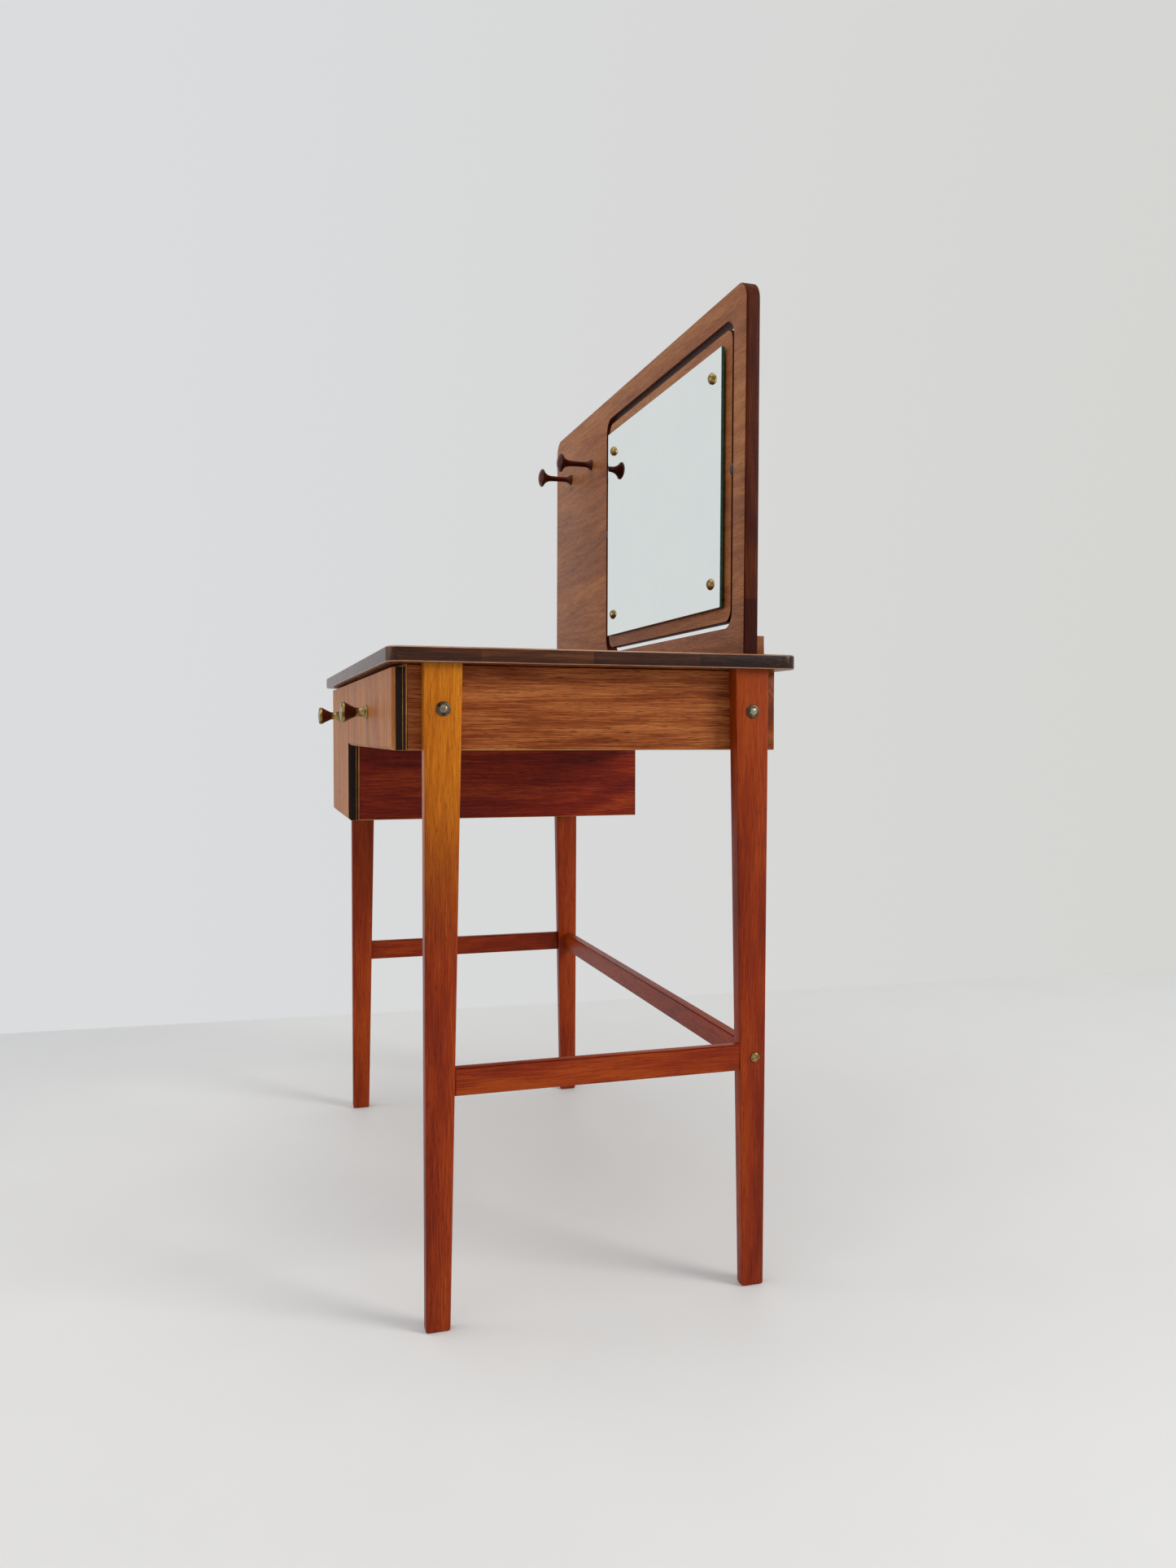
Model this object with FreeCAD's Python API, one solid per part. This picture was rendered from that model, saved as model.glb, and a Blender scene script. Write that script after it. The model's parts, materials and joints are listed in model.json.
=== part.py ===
import FreeCAD, Part
import math
import os

# A teak dressing table: a case with one shallow and one deep drawer on four tapered
# legs, and an upright panel that holds a tilting mirror and two turned pegs.
# Millimetres.  +X is to the right seen from the front, +Y to the back, +Z up.
# The origin is on the floor, under the middle of the whole table.

# ---- Driving dimensions -----------------------------------------------------------

# Table top
TOP_WIDTH = 770.0
TOP_DEPTH = 447.0
TOP_HEIGHT = 700.0          # floor to upper face
BOARD = 16.0                # top, case boards and mirror panel
TOP_CORNER = 16.0
TOP_UPPER_EASE = 2.6
TOP_LOWER_EASE = 2.0
TOP_END_OVERHANG = 10.0     # beyond the legs
TOP_REAR_OVERHANG = 15.0    # beyond the back board

# Case
CASE_SETBACK = 22.5         # front edges behind the edge of the top
CASE_HEIGHT = 88.0          # under the top, at the shallow drawer
HOUSING_HEIGHT = 193.0      # under the top, at the deep drawer
HOUSING_WIDTH = 252.0       # left end to the divider's right face
BOTTOM_BOARD = 12.0
BACK_EASE = 2.0             # rounded lower rear edges
RAIL_HEIGHT = 12.0          # rails under the top
RAIL_DEPTH = 40.0
KICKER_WIDTH = 20.0         # strips that keep an open drawer level

# Legs, tapered on their inner sides
LEG_THICK_TOP = 19.0
LEG_THICK_FOOT = 14.0
LEG_WIDTH_TOP = 39.0
LEG_WIDTH_FOOT = 25.4
LEG_FRONT_SETBACK = 15.5    # behind the case's front edges
LEG_BACK_SETBACK = 0.5      # in front of the back board
LEG_EASE = 1.0
FOOT_EASE = 2.5

# Stretchers between the legs
STRETCHER_UNDERSIDE = 243.5
SIDE_STRETCHER_HEIGHT = 29.0
SIDE_STRETCHER_THICK = 10.0
BACK_STRETCHER_HEIGHT = 27.0
BACK_STRETCHER_THICK = 13.0
BACK_STRETCHER_SETBACK = 6.0   # in front of the back legs' rear faces
STRETCHER_EASE = 1.0
DOWEL_RADIUS = 3.0
DOWEL_LENGTH = 26.0

# Drawer fronts, lying over the case's front edges
FACE_THICK = 14.0
FACE_END_INSET = 1.0        # inside the end panels' outer faces
FACE_TOP_GAP = 3.5
FACE_SPLIT_GAP = 1.5
FACE_BEVEL = 3.5
FACE_EASE = 0.6

# Drawer boxes
SIDE_THICK = 12.0
DRAWER_BACK_THICK = 10.0
DRAWER_BOTTOM_THICK = 6.0
GROOVE_DEPTH = 5.0
BOTTOM_RISE = 8.0           # drawer bottom above the sides' lower edges
BACK_DROP = 6.0             # drawer back below the sides' upper edges
SIDE_GAP = 1.0
RUNNING_GAP = 0.3
KICKER_GAP = 2.5
REAR_GAP = 10.0

# Knobs
KNOB_STEM_LENGTH = 13.0
KNOB_CONE_LENGTH = 13.1
KNOB_CAP_LENGTH = 5.4
KNOB_FOOT_RADIUS = 8.6
KNOB_WAIST_RADIUS = 5.5
KNOB_RIM_RADIUS = 12.35
KNOB_FLARE = 1.5            # how far the stem's side curves in
KNOB_SCREW_RADIUS = 2.0

# Screws
SCREW_PLAY = 0.05           # radial play of a screw in its hole
LEG_SCREW_RADIUS = 3.0
LEG_SCREW_HEAD = 5.0
LEG_SCREW_DROP = 46.0       # below the top's lower face
LEG_SCREW_GRIP = 13.0       # in the end panel
WASHER_RADIUS = 7.5
WASHER_THICK = 1.6
HEAD_HEIGHT = 2.2
STRETCHER_SCREW_RADIUS = 2.5
STRETCHER_SCREW_HEAD = 5.5
STRETCHER_SCREW_GRIP = 30.0
SMALL_SCREW_RADIUS = 2.0
SMALL_SCREW_HEAD = 4.0
SMALL_SCREW_GRIP = 9.0
SMALL_HEAD_HEIGHT = 2.0
SLOT_WIDTH = 1.2
SLOT_DEPTH = 1.0

# Mirror panel, standing on the top
PANEL_HEIGHT = 402.5
PANEL_END_INSET = 9.0       # inside the ends of the top
PANEL_INSET = 46.0          # rear face in front of the top's rear edge
PANEL_CORNER = 22.0
PANEL_EASE = 1.5
OPENING_WIDTH = 447.5
OPENING_HEIGHT = 338.5
OPENING_STILE = 33.0        # panel left beside the opening, on the right
OPENING_SILL = 32.0
OPENING_CORNER = 20.0
CLEAT_HEIGHT = 22.0
CLEAT_DEPTH = 18.0
CLEAT_INSET = 20.0          # inside the panel's ends
CLEAT_EASE = 1.5

# Tilting mirror
TILT_GAP = 7.0              # between the board and the opening
TILT_BOARD = 12.0
TILT_CORNER = 15.0
TILT_EASE = 1.0
PIVOT_RISE = 5.0            # above the board's middle
PIN_RADIUS = 3.0
PIN_IN_BOARD = 14.0
PIN_IN_PANEL = 15.0
PIVOT_PLAY = 0.05
PIVOT_WASHER_RADIUS = 9.0
GLASS_WIDTH = 406.0
GLASS_HEIGHT = 291.0
GLASS_THICK = 4.0
GLASS_SHIFT = -3.0          # from the board's middle
GLASS_CORNER = 1.5
PAD_THICK = 2.0
PAD_RADIUS = 7.0
GLASS_SCREW_INSET_X = 26.0
GLASS_SCREW_INSET_Z = 29.0
GLASS_SCREW_HEAD = 6.5
GLASS_SCREW_DOME = 5.0
GLASS_SCREW_PLAY = 0.5

# Pegs, turned
PEG_FROM_OPENING = 77.5     # first peg, to the left of the opening
PEG_PITCH = 110.0
PEG_HEIGHT = 325.0          # above the top
PEG_LENGTH = 54.0
PEG_FOOT_RADIUS = 8.0
PEG_STEM_RADIUS = 3.9
PEG_HEAD_RADIUS = 14.0
PEG_DOME = 5.0
PEG_RIM = 1.6
PEG_SCREW_GRIP = 20.0

# ---- Places worked out from them --------------------------------------------------

X_AXIS = FreeCAD.Vector(1, 0, 0)
Y_AXIS = FreeCAD.Vector(0, 1, 0)
Z_AXIS = FreeCAD.Vector(0, 0, 1)
NEAR = 0.001

knob_length = KNOB_STEM_LENGTH + KNOB_CONE_LENGTH + KNOB_CAP_LENGTH
face_setback = CASE_SETBACK - FACE_THICK
overall_depth = TOP_DEPTH + knob_length - face_setback

top_rear = overall_depth / 2
top_front = top_rear - TOP_DEPTH
top_under = TOP_HEIGHT - BOARD

case_front = top_front + CASE_SETBACK
back_rear = top_rear - TOP_REAR_OVERHANG
case_rear = back_rear - BOARD
face_front = case_front - FACE_THICK
leg_outer = TOP_WIDTH / 2 - TOP_END_OVERHANG
case_right = leg_outer - LEG_THICK_TOP
case_left = -case_right
shallow_under = top_under - CASE_HEIGHT
deep_under = top_under - HOUSING_HEIGHT
divider_right = case_left + HOUSING_WIDTH
divider_left = divider_right - BOARD
rail_under = top_under - RAIL_HEIGHT
face_top = top_under - FACE_TOP_GAP

leg_front = case_front + LEG_FRONT_SETBACK
leg_rear = case_rear - LEG_BACK_SETBACK

panel_rear = top_rear - PANEL_INSET
panel_front = panel_rear - BOARD
panel_middle = (panel_front + panel_rear) / 2
panel_right = TOP_WIDTH / 2 - PANEL_END_INSET
panel_top = TOP_HEIGHT + PANEL_HEIGHT
opening_right = panel_right - OPENING_STILE
opening_left = opening_right - OPENING_WIDTH
opening_under = TOP_HEIGHT + OPENING_SILL
opening_top = opening_under + OPENING_HEIGHT

tilt_right = opening_right - TILT_GAP
tilt_left = opening_left + TILT_GAP
tilt_under = opening_under + TILT_GAP
tilt_top = opening_top - TILT_GAP
tilt_front = panel_middle - TILT_BOARD / 2
tilt_rear = tilt_front + TILT_BOARD
pivot_height = (tilt_under + tilt_top) / 2 + PIVOT_RISE
glass_rear = tilt_front - PAD_THICK
glass_front = glass_rear - GLASS_THICK


# ---- Small tools ------------------------------------------------------------------

def at(x, y, z):
    return FreeCAD.Vector(x, y, z)


def block(x0, x1, y0, y1, z0, z1):
    """A board between two corners."""
    return Part.makeBox(x1 - x0, y1 - y0, z1 - z0, at(x0, y0, z0))


def rod(start, direction, length, radius):
    return Part.makeCylinder(radius, length, start, direction)


def slab(points, run):
    """A flat outline of straight sides, carried along a vector."""
    outline = Part.makePolygon(points + points[:1])
    return Part.Face(outline).extrude(run)


def edges_along(solid, axis, wanted=lambda middle: True):
    """The straight edges that run along an axis and whose middle is wanted."""
    found = []
    for edge in solid.Edges:
        run = edge.Vertexes[-1].Point - edge.Vertexes[0].Point
        if run.Length > NEAR and run.cross(axis).Length < NEAR * run.Length:
            if wanted(edge.CenterOfMass):
                found.append(edge)
    return found


def edges_in_plane(solid, axis, place):
    """The edges that lie in the plane at one place along an axis."""
    low = {"x": "XMin", "y": "YMin", "z": "ZMin"}[axis]
    high = {"x": "XMax", "y": "YMax", "z": "ZMax"}[axis]
    found = []
    for edge in solid.Edges:
        box = edge.BoundBox
        if abs(getattr(box, low) - place) < NEAR and abs(getattr(box, high) - place) < NEAR:
            found.append(edge)
    return found


def rounded(solid, axis, radius, wanted=lambda middle: True):
    return solid.makeFillet(radius, edges_along(solid, axis, wanted))


def eased(solid, size, axis, *places):
    """Chamfer every edge that lies in the given planes across an axis."""
    for place in places:
        solid = solid.makeChamfer(size, edges_in_plane(solid, axis, place))
    return solid


def plate(x0, x1, y0, y1, z0, z1, corner, wanted=lambda middle: True):
    """An upright board with rounded corners."""
    return rounded(block(x0, x1, y0, y1, z0, z1), Y_AXIS, corner, wanted)


def mirrored(solid):
    """The same piece on the other side of the table."""
    return solid.mirror(at(0, 0, 0), X_AXIS)


def dome(radius, along, end):
    """The last step of a turned piece: a round cap from a rim to a point on the axis."""
    rise = end - along
    ball = (radius * radius + rise * rise) / (2 * rise)
    halfway = radius / 2
    return "arc", [(halfway, end - ball + math.sqrt(ball * ball - halfway * halfway)), (0, end)]


def turned(steps, start, direction):
    """A turned piece.  Each step is (kind, [(radius, along), ...]): line or arc."""
    edges = []
    here = at(0, 0, 0)
    for kind, points in steps:
        stops = [at(radius, 0, along) for radius, along in points]
        if kind == "arc":
            edges.append(Part.Arc(here, stops[0], stops[1]).toShape())
        else:
            edges.append(Part.LineSegment(here, stops[0]).toShape())
        here = stops[-1]
    edges.append(Part.LineSegment(here, at(0, 0, 0)).toShape())
    profile = Part.Face(Part.Wire(edges))
    solid = profile.revolve(at(0, 0, 0), Z_AXIS, 360)
    solid.Placement = FreeCAD.Placement(start, FreeCAD.Rotation(Z_AXIS, direction))
    return solid


def screw(start, inward, grip, radius, head_radius, head_height):
    """A slotted screw whose domed head rests on a surface at start."""
    head = turned([
        ("line", [(head_radius, 0)]),
        ("line", [(head_radius, head_height * 0.25)]),
        dome(head_radius, head_height * 0.25, head_height),
    ], start, inward * -1)
    body = head.fuse(rod(start, inward, grip, radius))
    slot_floor = start - inward * (head_height - SLOT_DEPTH)
    slot = Part.makeBox(4 * head_radius, SLOT_WIDTH, 2 * SLOT_DEPTH + head_height)
    slot.translate(at(-2 * head_radius, -SLOT_WIDTH / 2, 0))
    slot.Placement = FreeCAD.Placement(slot_floor, FreeCAD.Rotation(Z_AXIS, inward * -1)).multiply(
        slot.Placement)
    return body.cut(slot)


def save(node, *solids):
    """One node: one solid, or several that are the same kind of piece."""
    for solid in solids:
        if not solid.isValid() or solid.Volume <= 0:
            raise ValueError("bad solid in " + node)
    pieces = [piece for solid in solids for piece in solid.Solids]
    shape = pieces[0] if len(pieces) == 1 else Part.makeCompound(pieces)
    shape.exportStep("parts/" + node + ".step")


# ---- Legs and stretchers ----------------------------------------------------------

def leg_thickness(height):
    """Full down to the case's underside, then tapering to the foot."""
    share = min(height / shallow_under, 1)
    return LEG_THICK_FOOT + (LEG_THICK_TOP - LEG_THICK_FOOT) * share


def leg_width(height):
    return LEG_WIDTH_FOOT + (LEG_WIDTH_TOP - LEG_WIDTH_FOOT) * height / top_under


def leg_middle(height, rear):
    """How far back the middle of a leg's width is."""
    half = leg_width(height) / 2
    return leg_rear - half if rear else leg_front + half


def right_leg(rear):
    """A right-hand leg: the taper seen from the front crossed with that from the side."""
    flat = leg_rear if rear else leg_front
    inward = -1 if rear else 1
    front_view = slab([
        at(leg_outer, case_front, 0),
        at(leg_outer, case_front, top_under),
        at(leg_outer - leg_thickness(top_under), case_front, top_under),
        at(leg_outer - leg_thickness(shallow_under), case_front, shallow_under),
        at(leg_outer - leg_thickness(0), case_front, 0),
    ], Y_AXIS * (case_rear - case_front))
    side_view = slab([
        at(case_right - LEG_THICK_TOP, flat, 0),
        at(case_right - LEG_THICK_TOP, flat, top_under),
        at(case_right - LEG_THICK_TOP, flat + inward * leg_width(top_under), top_under),
        at(case_right - LEG_THICK_TOP, flat + inward * leg_width(0), 0),
    ], X_AXIS * 3 * LEG_THICK_TOP)
    leg = front_view.common(side_view).Solids[0]
    leg = eased(leg, FOOT_EASE, "z", 0)
    outer_edges = edges_along(leg, Z_AXIS, lambda middle: abs(middle.x - leg_outer) < NEAR)
    return leg.makeChamfer(LEG_EASE, outer_edges)


def leg_screw_spots():
    """Where the four leg screws go, on the right-hand legs."""
    height = top_under - LEG_SCREW_DROP
    return [at(leg_outer, leg_middle(height, rear), height) for rear in (False, True)]


def stretcher_screw_spot():
    return at(leg_outer, leg_rear - BACK_STRETCHER_SETBACK - BACK_STRETCHER_THICK / 2,
              STRETCHER_UNDERSIDE + BACK_STRETCHER_HEIGHT / 2)


def dowel_spots():
    """Starts of the right side stretcher's two dowels, each with half in the leg."""
    height = STRETCHER_UNDERSIDE + SIDE_STRETCHER_HEIGHT / 2
    across = leg_outer - SIDE_STRETCHER_THICK / 2
    front_joint = leg_front + leg_width(height)
    rear_joint = leg_rear - leg_width(height)
    return [at(across, front_joint - DOWEL_LENGTH / 2, height),
            at(across, rear_joint - DOWEL_LENGTH / 2, height)]


def dowel_holes(solid):
    for spot in dowel_spots():
        solid = solid.cut(rod(spot, Y_AXIS, DOWEL_LENGTH, DOWEL_RADIUS + SCREW_PLAY))
    return solid


def make_legs():
    for rear, name in ((False, "leg_front"), (True, "leg_back")):
        leg = dowel_holes(right_leg(rear))
        for spot in leg_screw_spots():
            leg = leg.cut(rod(spot + X_AXIS, X_AXIS * -1, 2 * LEG_THICK_TOP,
                              LEG_SCREW_RADIUS + SCREW_PLAY))
        if rear:
            leg = leg.cut(rod(stretcher_screw_spot() + X_AXIS, X_AXIS * -1, 2 * LEG_THICK_TOP,
                              STRETCHER_SCREW_RADIUS + SCREW_PLAY))
        save(name + "_right", leg)
        save(name + "_left", mirrored(leg))


def make_leg_screws():
    screws = []
    washers = []
    for spot in leg_screw_spots():
        washer = turned([
            ("line", [(WASHER_RADIUS, 0)]),
            ("line", [(WASHER_RADIUS, WASHER_THICK * 0.4)]),
            ("arc", [(WASHER_RADIUS * 0.88, WASHER_THICK * 0.85),
                     (LEG_SCREW_HEAD + 0.4, WASHER_THICK)]),
            ("line", [(0, WASHER_THICK)]),
        ], spot, X_AXIS)
        washer = washer.cut(rod(spot - X_AXIS, X_AXIS, 4 * WASHER_THICK,
                                LEG_SCREW_RADIUS + SCREW_PLAY))
        seat = spot + X_AXIS * WASHER_THICK
        grip = WASHER_THICK + LEG_THICK_TOP + LEG_SCREW_GRIP
        fixing = screw(seat, X_AXIS * -1, grip, LEG_SCREW_RADIUS, LEG_SCREW_HEAD, HEAD_HEIGHT)
        washers += [washer, mirrored(washer)]
        screws += [fixing, mirrored(fixing)]
    save("leg_washers", *washers)
    save("leg_screws", *screws)


def make_side_stretchers():
    low = STRETCHER_UNDERSIDE
    high = low + SIDE_STRETCHER_HEIGHT
    inner = leg_outer - SIDE_STRETCHER_THICK
    bar = slab([
        at(inner, leg_front + leg_width(low), low),
        at(inner, leg_rear - leg_width(low), low),
        at(inner, leg_rear - leg_width(high), high),
        at(inner, leg_front + leg_width(high), high),
    ], X_AXIS * SIDE_STRETCHER_THICK)
    bar = bar.makeChamfer(STRETCHER_EASE, edges_along(bar, Y_AXIS))
    bar = dowel_holes(bar)
    save("side_stretcher_right", bar)
    save("side_stretcher_left", mirrored(bar))
    dowels = [rod(spot, Y_AXIS, DOWEL_LENGTH, DOWEL_RADIUS) for spot in dowel_spots()]
    save("stretcher_dowels", *dowels, *[mirrored(dowel) for dowel in dowels])


def make_back_stretcher():
    low = STRETCHER_UNDERSIDE
    high = low + BACK_STRETCHER_HEIGHT
    rear = leg_rear - BACK_STRETCHER_SETBACK
    reach_low = leg_outer - leg_thickness(low)
    reach_high = leg_outer - leg_thickness(high)
    bar = slab([
        at(-reach_low, rear, low),
        at(reach_low, rear, low),
        at(reach_high, rear, high),
        at(-reach_high, rear, high),
    ], Y_AXIS * -BACK_STRETCHER_THICK)
    bar = bar.makeChamfer(STRETCHER_EASE, edges_along(bar, X_AXIS))
    spot = stretcher_screw_spot()
    grip = leg_thickness(spot.z) + STRETCHER_SCREW_GRIP
    hole = rod(spot, X_AXIS * -1, grip, STRETCHER_SCREW_RADIUS + SCREW_PLAY)
    save("back_stretcher", bar.cut(hole).cut(mirrored(hole)))
    fixing = screw(spot, X_AXIS * -1, grip, STRETCHER_SCREW_RADIUS, STRETCHER_SCREW_HEAD,
                   HEAD_HEIGHT)
    save("stretcher_screws", fixing, mirrored(fixing))


# ---- Top and case -----------------------------------------------------------------

def top_screw_spots():
    """Undersides of the rails and kickers, where screws go up into the top."""
    rail_middle = case_front + RAIL_DEPTH / 2
    kicker_end = case_rear - RAIL_DEPTH
    spots = []
    for left, right in ((case_left + BOARD, divider_left), (divider_right, case_right - BOARD)):
        third = (right - left) / 3
        spots += [at(left + third, rail_middle, rail_under), at(right - third, rail_middle, rail_under)]
        for across in (left + KICKER_WIDTH / 2, right - KICKER_WIDTH / 2):
            spots.append(at(across, kicker_end, rail_under))
    return spots


def top_screw_holes(solid):
    for spot in top_screw_spots():
        hole = rod(spot, Z_AXIS, RAIL_HEIGHT + SMALL_SCREW_GRIP, SMALL_SCREW_RADIUS + SCREW_PLAY)
        solid = solid.cut(hole)
    return solid


def cleat_screw_spots():
    """(top of the cleat, rear of the cleat) for each pair of cleat screws."""
    reach = panel_right - CLEAT_INSET
    height = TOP_HEIGHT + CLEAT_HEIGHT
    rear = panel_rear + CLEAT_DEPTH
    pairs = []
    for share in (-0.85, -0.3, 0.3, 0.85):
        down = at(reach * share, panel_rear + CLEAT_DEPTH / 2, height)
        forward = at(reach * share + 3 * SMALL_SCREW_HEAD, rear, TOP_HEIGHT + CLEAT_HEIGHT / 2)
        pairs.append((down, forward))
    return pairs


def cleat_screw_holes(solid):
    for down, forward in cleat_screw_spots():
        radius = SMALL_SCREW_RADIUS + SCREW_PLAY
        solid = solid.cut(rod(down, Z_AXIS * -1, CLEAT_HEIGHT + SMALL_SCREW_GRIP, radius))
        solid = solid.cut(rod(forward, Y_AXIS * -1, CLEAT_DEPTH + SMALL_SCREW_GRIP, radius))
    return solid


def make_top():
    half = TOP_WIDTH / 2
    top = block(-half, half, top_front, top_rear, top_under, TOP_HEIGHT)
    top = rounded(top, Z_AXIS, TOP_CORNER)
    top = eased(top, TOP_UPPER_EASE, "z", TOP_HEIGHT)
    top = eased(top, TOP_LOWER_EASE, "z", top_under)
    save("table_top", cleat_screw_holes(top_screw_holes(top)))
    screws = []
    for spot in top_screw_spots():
        screws.append(screw(spot, Z_AXIS, RAIL_HEIGHT + SMALL_SCREW_GRIP, SMALL_SCREW_RADIUS,
                            SMALL_SCREW_HEAD, SMALL_HEAD_HEIGHT * 0.8))
    save("top_screws", *screws)


def panel_screw_holes(solid):
    for spot in leg_screw_spots():
        hole = rod(spot, X_AXIS * -1, LEG_THICK_TOP + LEG_SCREW_GRIP, LEG_SCREW_RADIUS + SCREW_PLAY)
        solid = solid.cut(hole).cut(mirrored(hole))
    return solid


def make_case():
    right_inner = case_right - BOARD
    left_inner = case_left + BOARD
    right = block(right_inner, case_right, case_front, case_rear, shallow_under, top_under)
    save("end_panel_right", panel_screw_holes(right))
    left = block(case_left, left_inner, case_front, case_rear, deep_under, top_under)
    save("end_panel_left", panel_screw_holes(left))

    divider = block(divider_left, divider_right, case_front, back_rear, deep_under, top_under)
    rebate = block(divider_left, divider_right, case_rear, back_rear, shallow_under, top_under)
    save("divider", divider.cut(rebate))

    back = block(case_left, case_right, case_rear, back_rear, shallow_under, top_under)
    save("back_board", rounded(back, X_AXIS, BACK_EASE, lambda middle: (
        middle.y > back_rear - NEAR and middle.z < shallow_under + NEAR)))
    housing_back = block(case_left, divider_left, case_rear, back_rear, deep_under, shallow_under)
    save("housing_back", rounded(housing_back, X_AXIS, BACK_EASE, lambda middle: (
        middle.y > back_rear - NEAR and middle.z < deep_under + NEAR)))

    save("case_bottom", block(divider_right, right_inner, case_front, case_rear,
                              shallow_under, shallow_under + BOTTOM_BOARD))
    save("housing_bottom", block(left_inner, divider_left, case_front, case_rear,
                                 deep_under, deep_under + BOTTOM_BOARD))

    bays = (("wide", divider_right, right_inner), ("deep", left_inner, divider_left))
    for name, left_wall, right_wall in bays:
        rail = block(left_wall, right_wall, case_front, case_front + RAIL_DEPTH, rail_under, top_under)
        save("front_rail_" + name, top_screw_holes(rail))
        kickers = []
        for start in (left_wall, right_wall - KICKER_WIDTH):
            kicker = block(start, start + KICKER_WIDTH, case_front + RAIL_DEPTH, case_rear,
                           rail_under, top_under)
            kickers.append(top_screw_holes(kicker))
        save("kickers_" + name, *kickers)


# ---- Drawers ----------------------------------------------------------------------

def make_drawer(name, face_left, face_right, outer_right, wall_left, wall_right, under, floor):
    """One drawer: an overlaid front with a bevel below and at its outer end, and a box."""
    face = block(face_left, face_right, face_front, case_front, under, face_top)
    outer = face_right if outer_right else face_left
    bevelled = edges_in_plane(face, "y", face_front)
    bevelled = [edge for edge in bevelled
                if edge.BoundBox.ZMax < under + NEAR or abs(edge.CenterOfMass.x - outer) < NEAR]
    face = face.makeChamfer(FACE_BEVEL, bevelled)
    top_edge = edges_along(face, X_AXIS, lambda middle: (
        middle.z > face_top - NEAR and middle.y < face_front + NEAR))
    face = face.makeChamfer(FACE_EASE, top_edge)

    left = wall_left + SIDE_GAP
    right = wall_right - SIDE_GAP
    low = floor + RUNNING_GAP
    high = rail_under - KICKER_GAP
    rear = case_rear - REAR_GAP
    bottom_low = low + BOTTOM_RISE
    bottom_high = bottom_low + DRAWER_BOTTOM_THICK

    bottom = block(left + SIDE_THICK - GROOVE_DEPTH, right - SIDE_THICK + GROOVE_DEPTH,
                   case_front - GROOVE_DEPTH, rear, bottom_low, bottom_high)
    left_side = block(left, left + SIDE_THICK, case_front, rear, low, high).cut(bottom)
    right_side = block(right - SIDE_THICK, right, case_front, rear, low, high).cut(bottom)
    back = block(left + SIDE_THICK, right - SIDE_THICK, rear - DRAWER_BACK_THICK, rear,
                 bottom_high, high - BACK_DROP)

    knob_height = (shallow_under + face_top) / 2
    seat = at((face_left + face_right) / 2, face_front, knob_height)
    screw_hole = rod(at(seat.x, case_front, seat.z), Y_AXIS * -1, FACE_THICK,
                     KNOB_SCREW_RADIUS + SCREW_PLAY)
    save(name + "_front", face.cut(bottom).cut(screw_hole))
    save(name + "_side_left", left_side)
    save(name + "_side_right", right_side)
    save(name + "_back", back)
    save(name + "_bottom", bottom)
    make_knob(name, seat)


def make_knob(name, seat):
    """A flared stem, a wooden cone that opens forwards and a domed cap, on one screw."""
    forward = Y_AXIS * -1
    middle_radius = (KNOB_FOOT_RADIUS + KNOB_WAIST_RADIUS) / 2 - KNOB_FLARE
    stem = turned([
        ("line", [(KNOB_FOOT_RADIUS, 0)]),
        ("line", [(KNOB_FOOT_RADIUS, 1.2)]),
        ("arc", [(middle_radius, KNOB_STEM_LENGTH * 0.5), (KNOB_WAIST_RADIUS, KNOB_STEM_LENGTH)]),
        ("line", [(0, KNOB_STEM_LENGTH)]),
    ], seat, forward)
    cone_seat = seat + forward * KNOB_STEM_LENGTH
    cone = turned([
        ("line", [(KNOB_WAIST_RADIUS, 0)]),
        ("arc", [((KNOB_WAIST_RADIUS + KNOB_RIM_RADIUS) / 2 - 0.8, KNOB_CONE_LENGTH * 0.5),
                 (KNOB_RIM_RADIUS - 0.3, KNOB_CONE_LENGTH)]),
        ("line", [(0, KNOB_CONE_LENGTH)]),
    ], cone_seat, forward)
    cap_seat = cone_seat + forward * KNOB_CONE_LENGTH
    cap = turned([
        ("line", [(KNOB_RIM_RADIUS, 0)]),
        ("line", [(KNOB_RIM_RADIUS, KNOB_CAP_LENGTH * 0.4)]),
        ("arc", [(KNOB_RIM_RADIUS * 0.93, KNOB_CAP_LENGTH * 0.72),
                 (KNOB_RIM_RADIUS * 0.8, KNOB_CAP_LENGTH * 0.86)]),
        dome(KNOB_RIM_RADIUS * 0.8, KNOB_CAP_LENGTH * 0.86, KNOB_CAP_LENGTH),
    ], cap_seat, forward)
    start = at(seat.x, case_front, seat.z)
    grip = FACE_THICK + KNOB_STEM_LENGTH + KNOB_CONE_LENGTH + KNOB_CAP_LENGTH / 2
    bore = rod(start, forward, grip, KNOB_SCREW_RADIUS + SCREW_PLAY)
    save(name + "_knob_stem", stem.cut(bore))
    save(name + "_knob_cone", cone.cut(bore))
    save(name + "_knob_cap", cap.cut(bore))
    save(name + "_knob_screw", screw(start, forward, grip, KNOB_SCREW_RADIUS, 2 * KNOB_SCREW_RADIUS,
                                     SMALL_HEAD_HEIGHT))


def make_drawers():
    half_gap = FACE_SPLIT_GAP / 2
    make_drawer("wide_drawer", divider_right + half_gap, case_right - FACE_END_INSET, True,
                divider_right, case_right - BOARD, shallow_under, shallow_under + BOTTOM_BOARD)
    make_drawer("deep_drawer", case_left + FACE_END_INSET, divider_right - half_gap, False,
                case_left + BOARD, divider_left, deep_under, deep_under + BOTTOM_BOARD)


# ---- Mirror panel, pegs and mirror ------------------------------------------------

def peg_spots():
    """Where the two pegs stand on the panel's front face."""
    first = opening_left - PEG_FROM_OPENING
    return [at(first - index * PEG_PITCH, panel_front, TOP_HEIGHT + PEG_HEIGHT) for index in (0, 1)]


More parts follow.
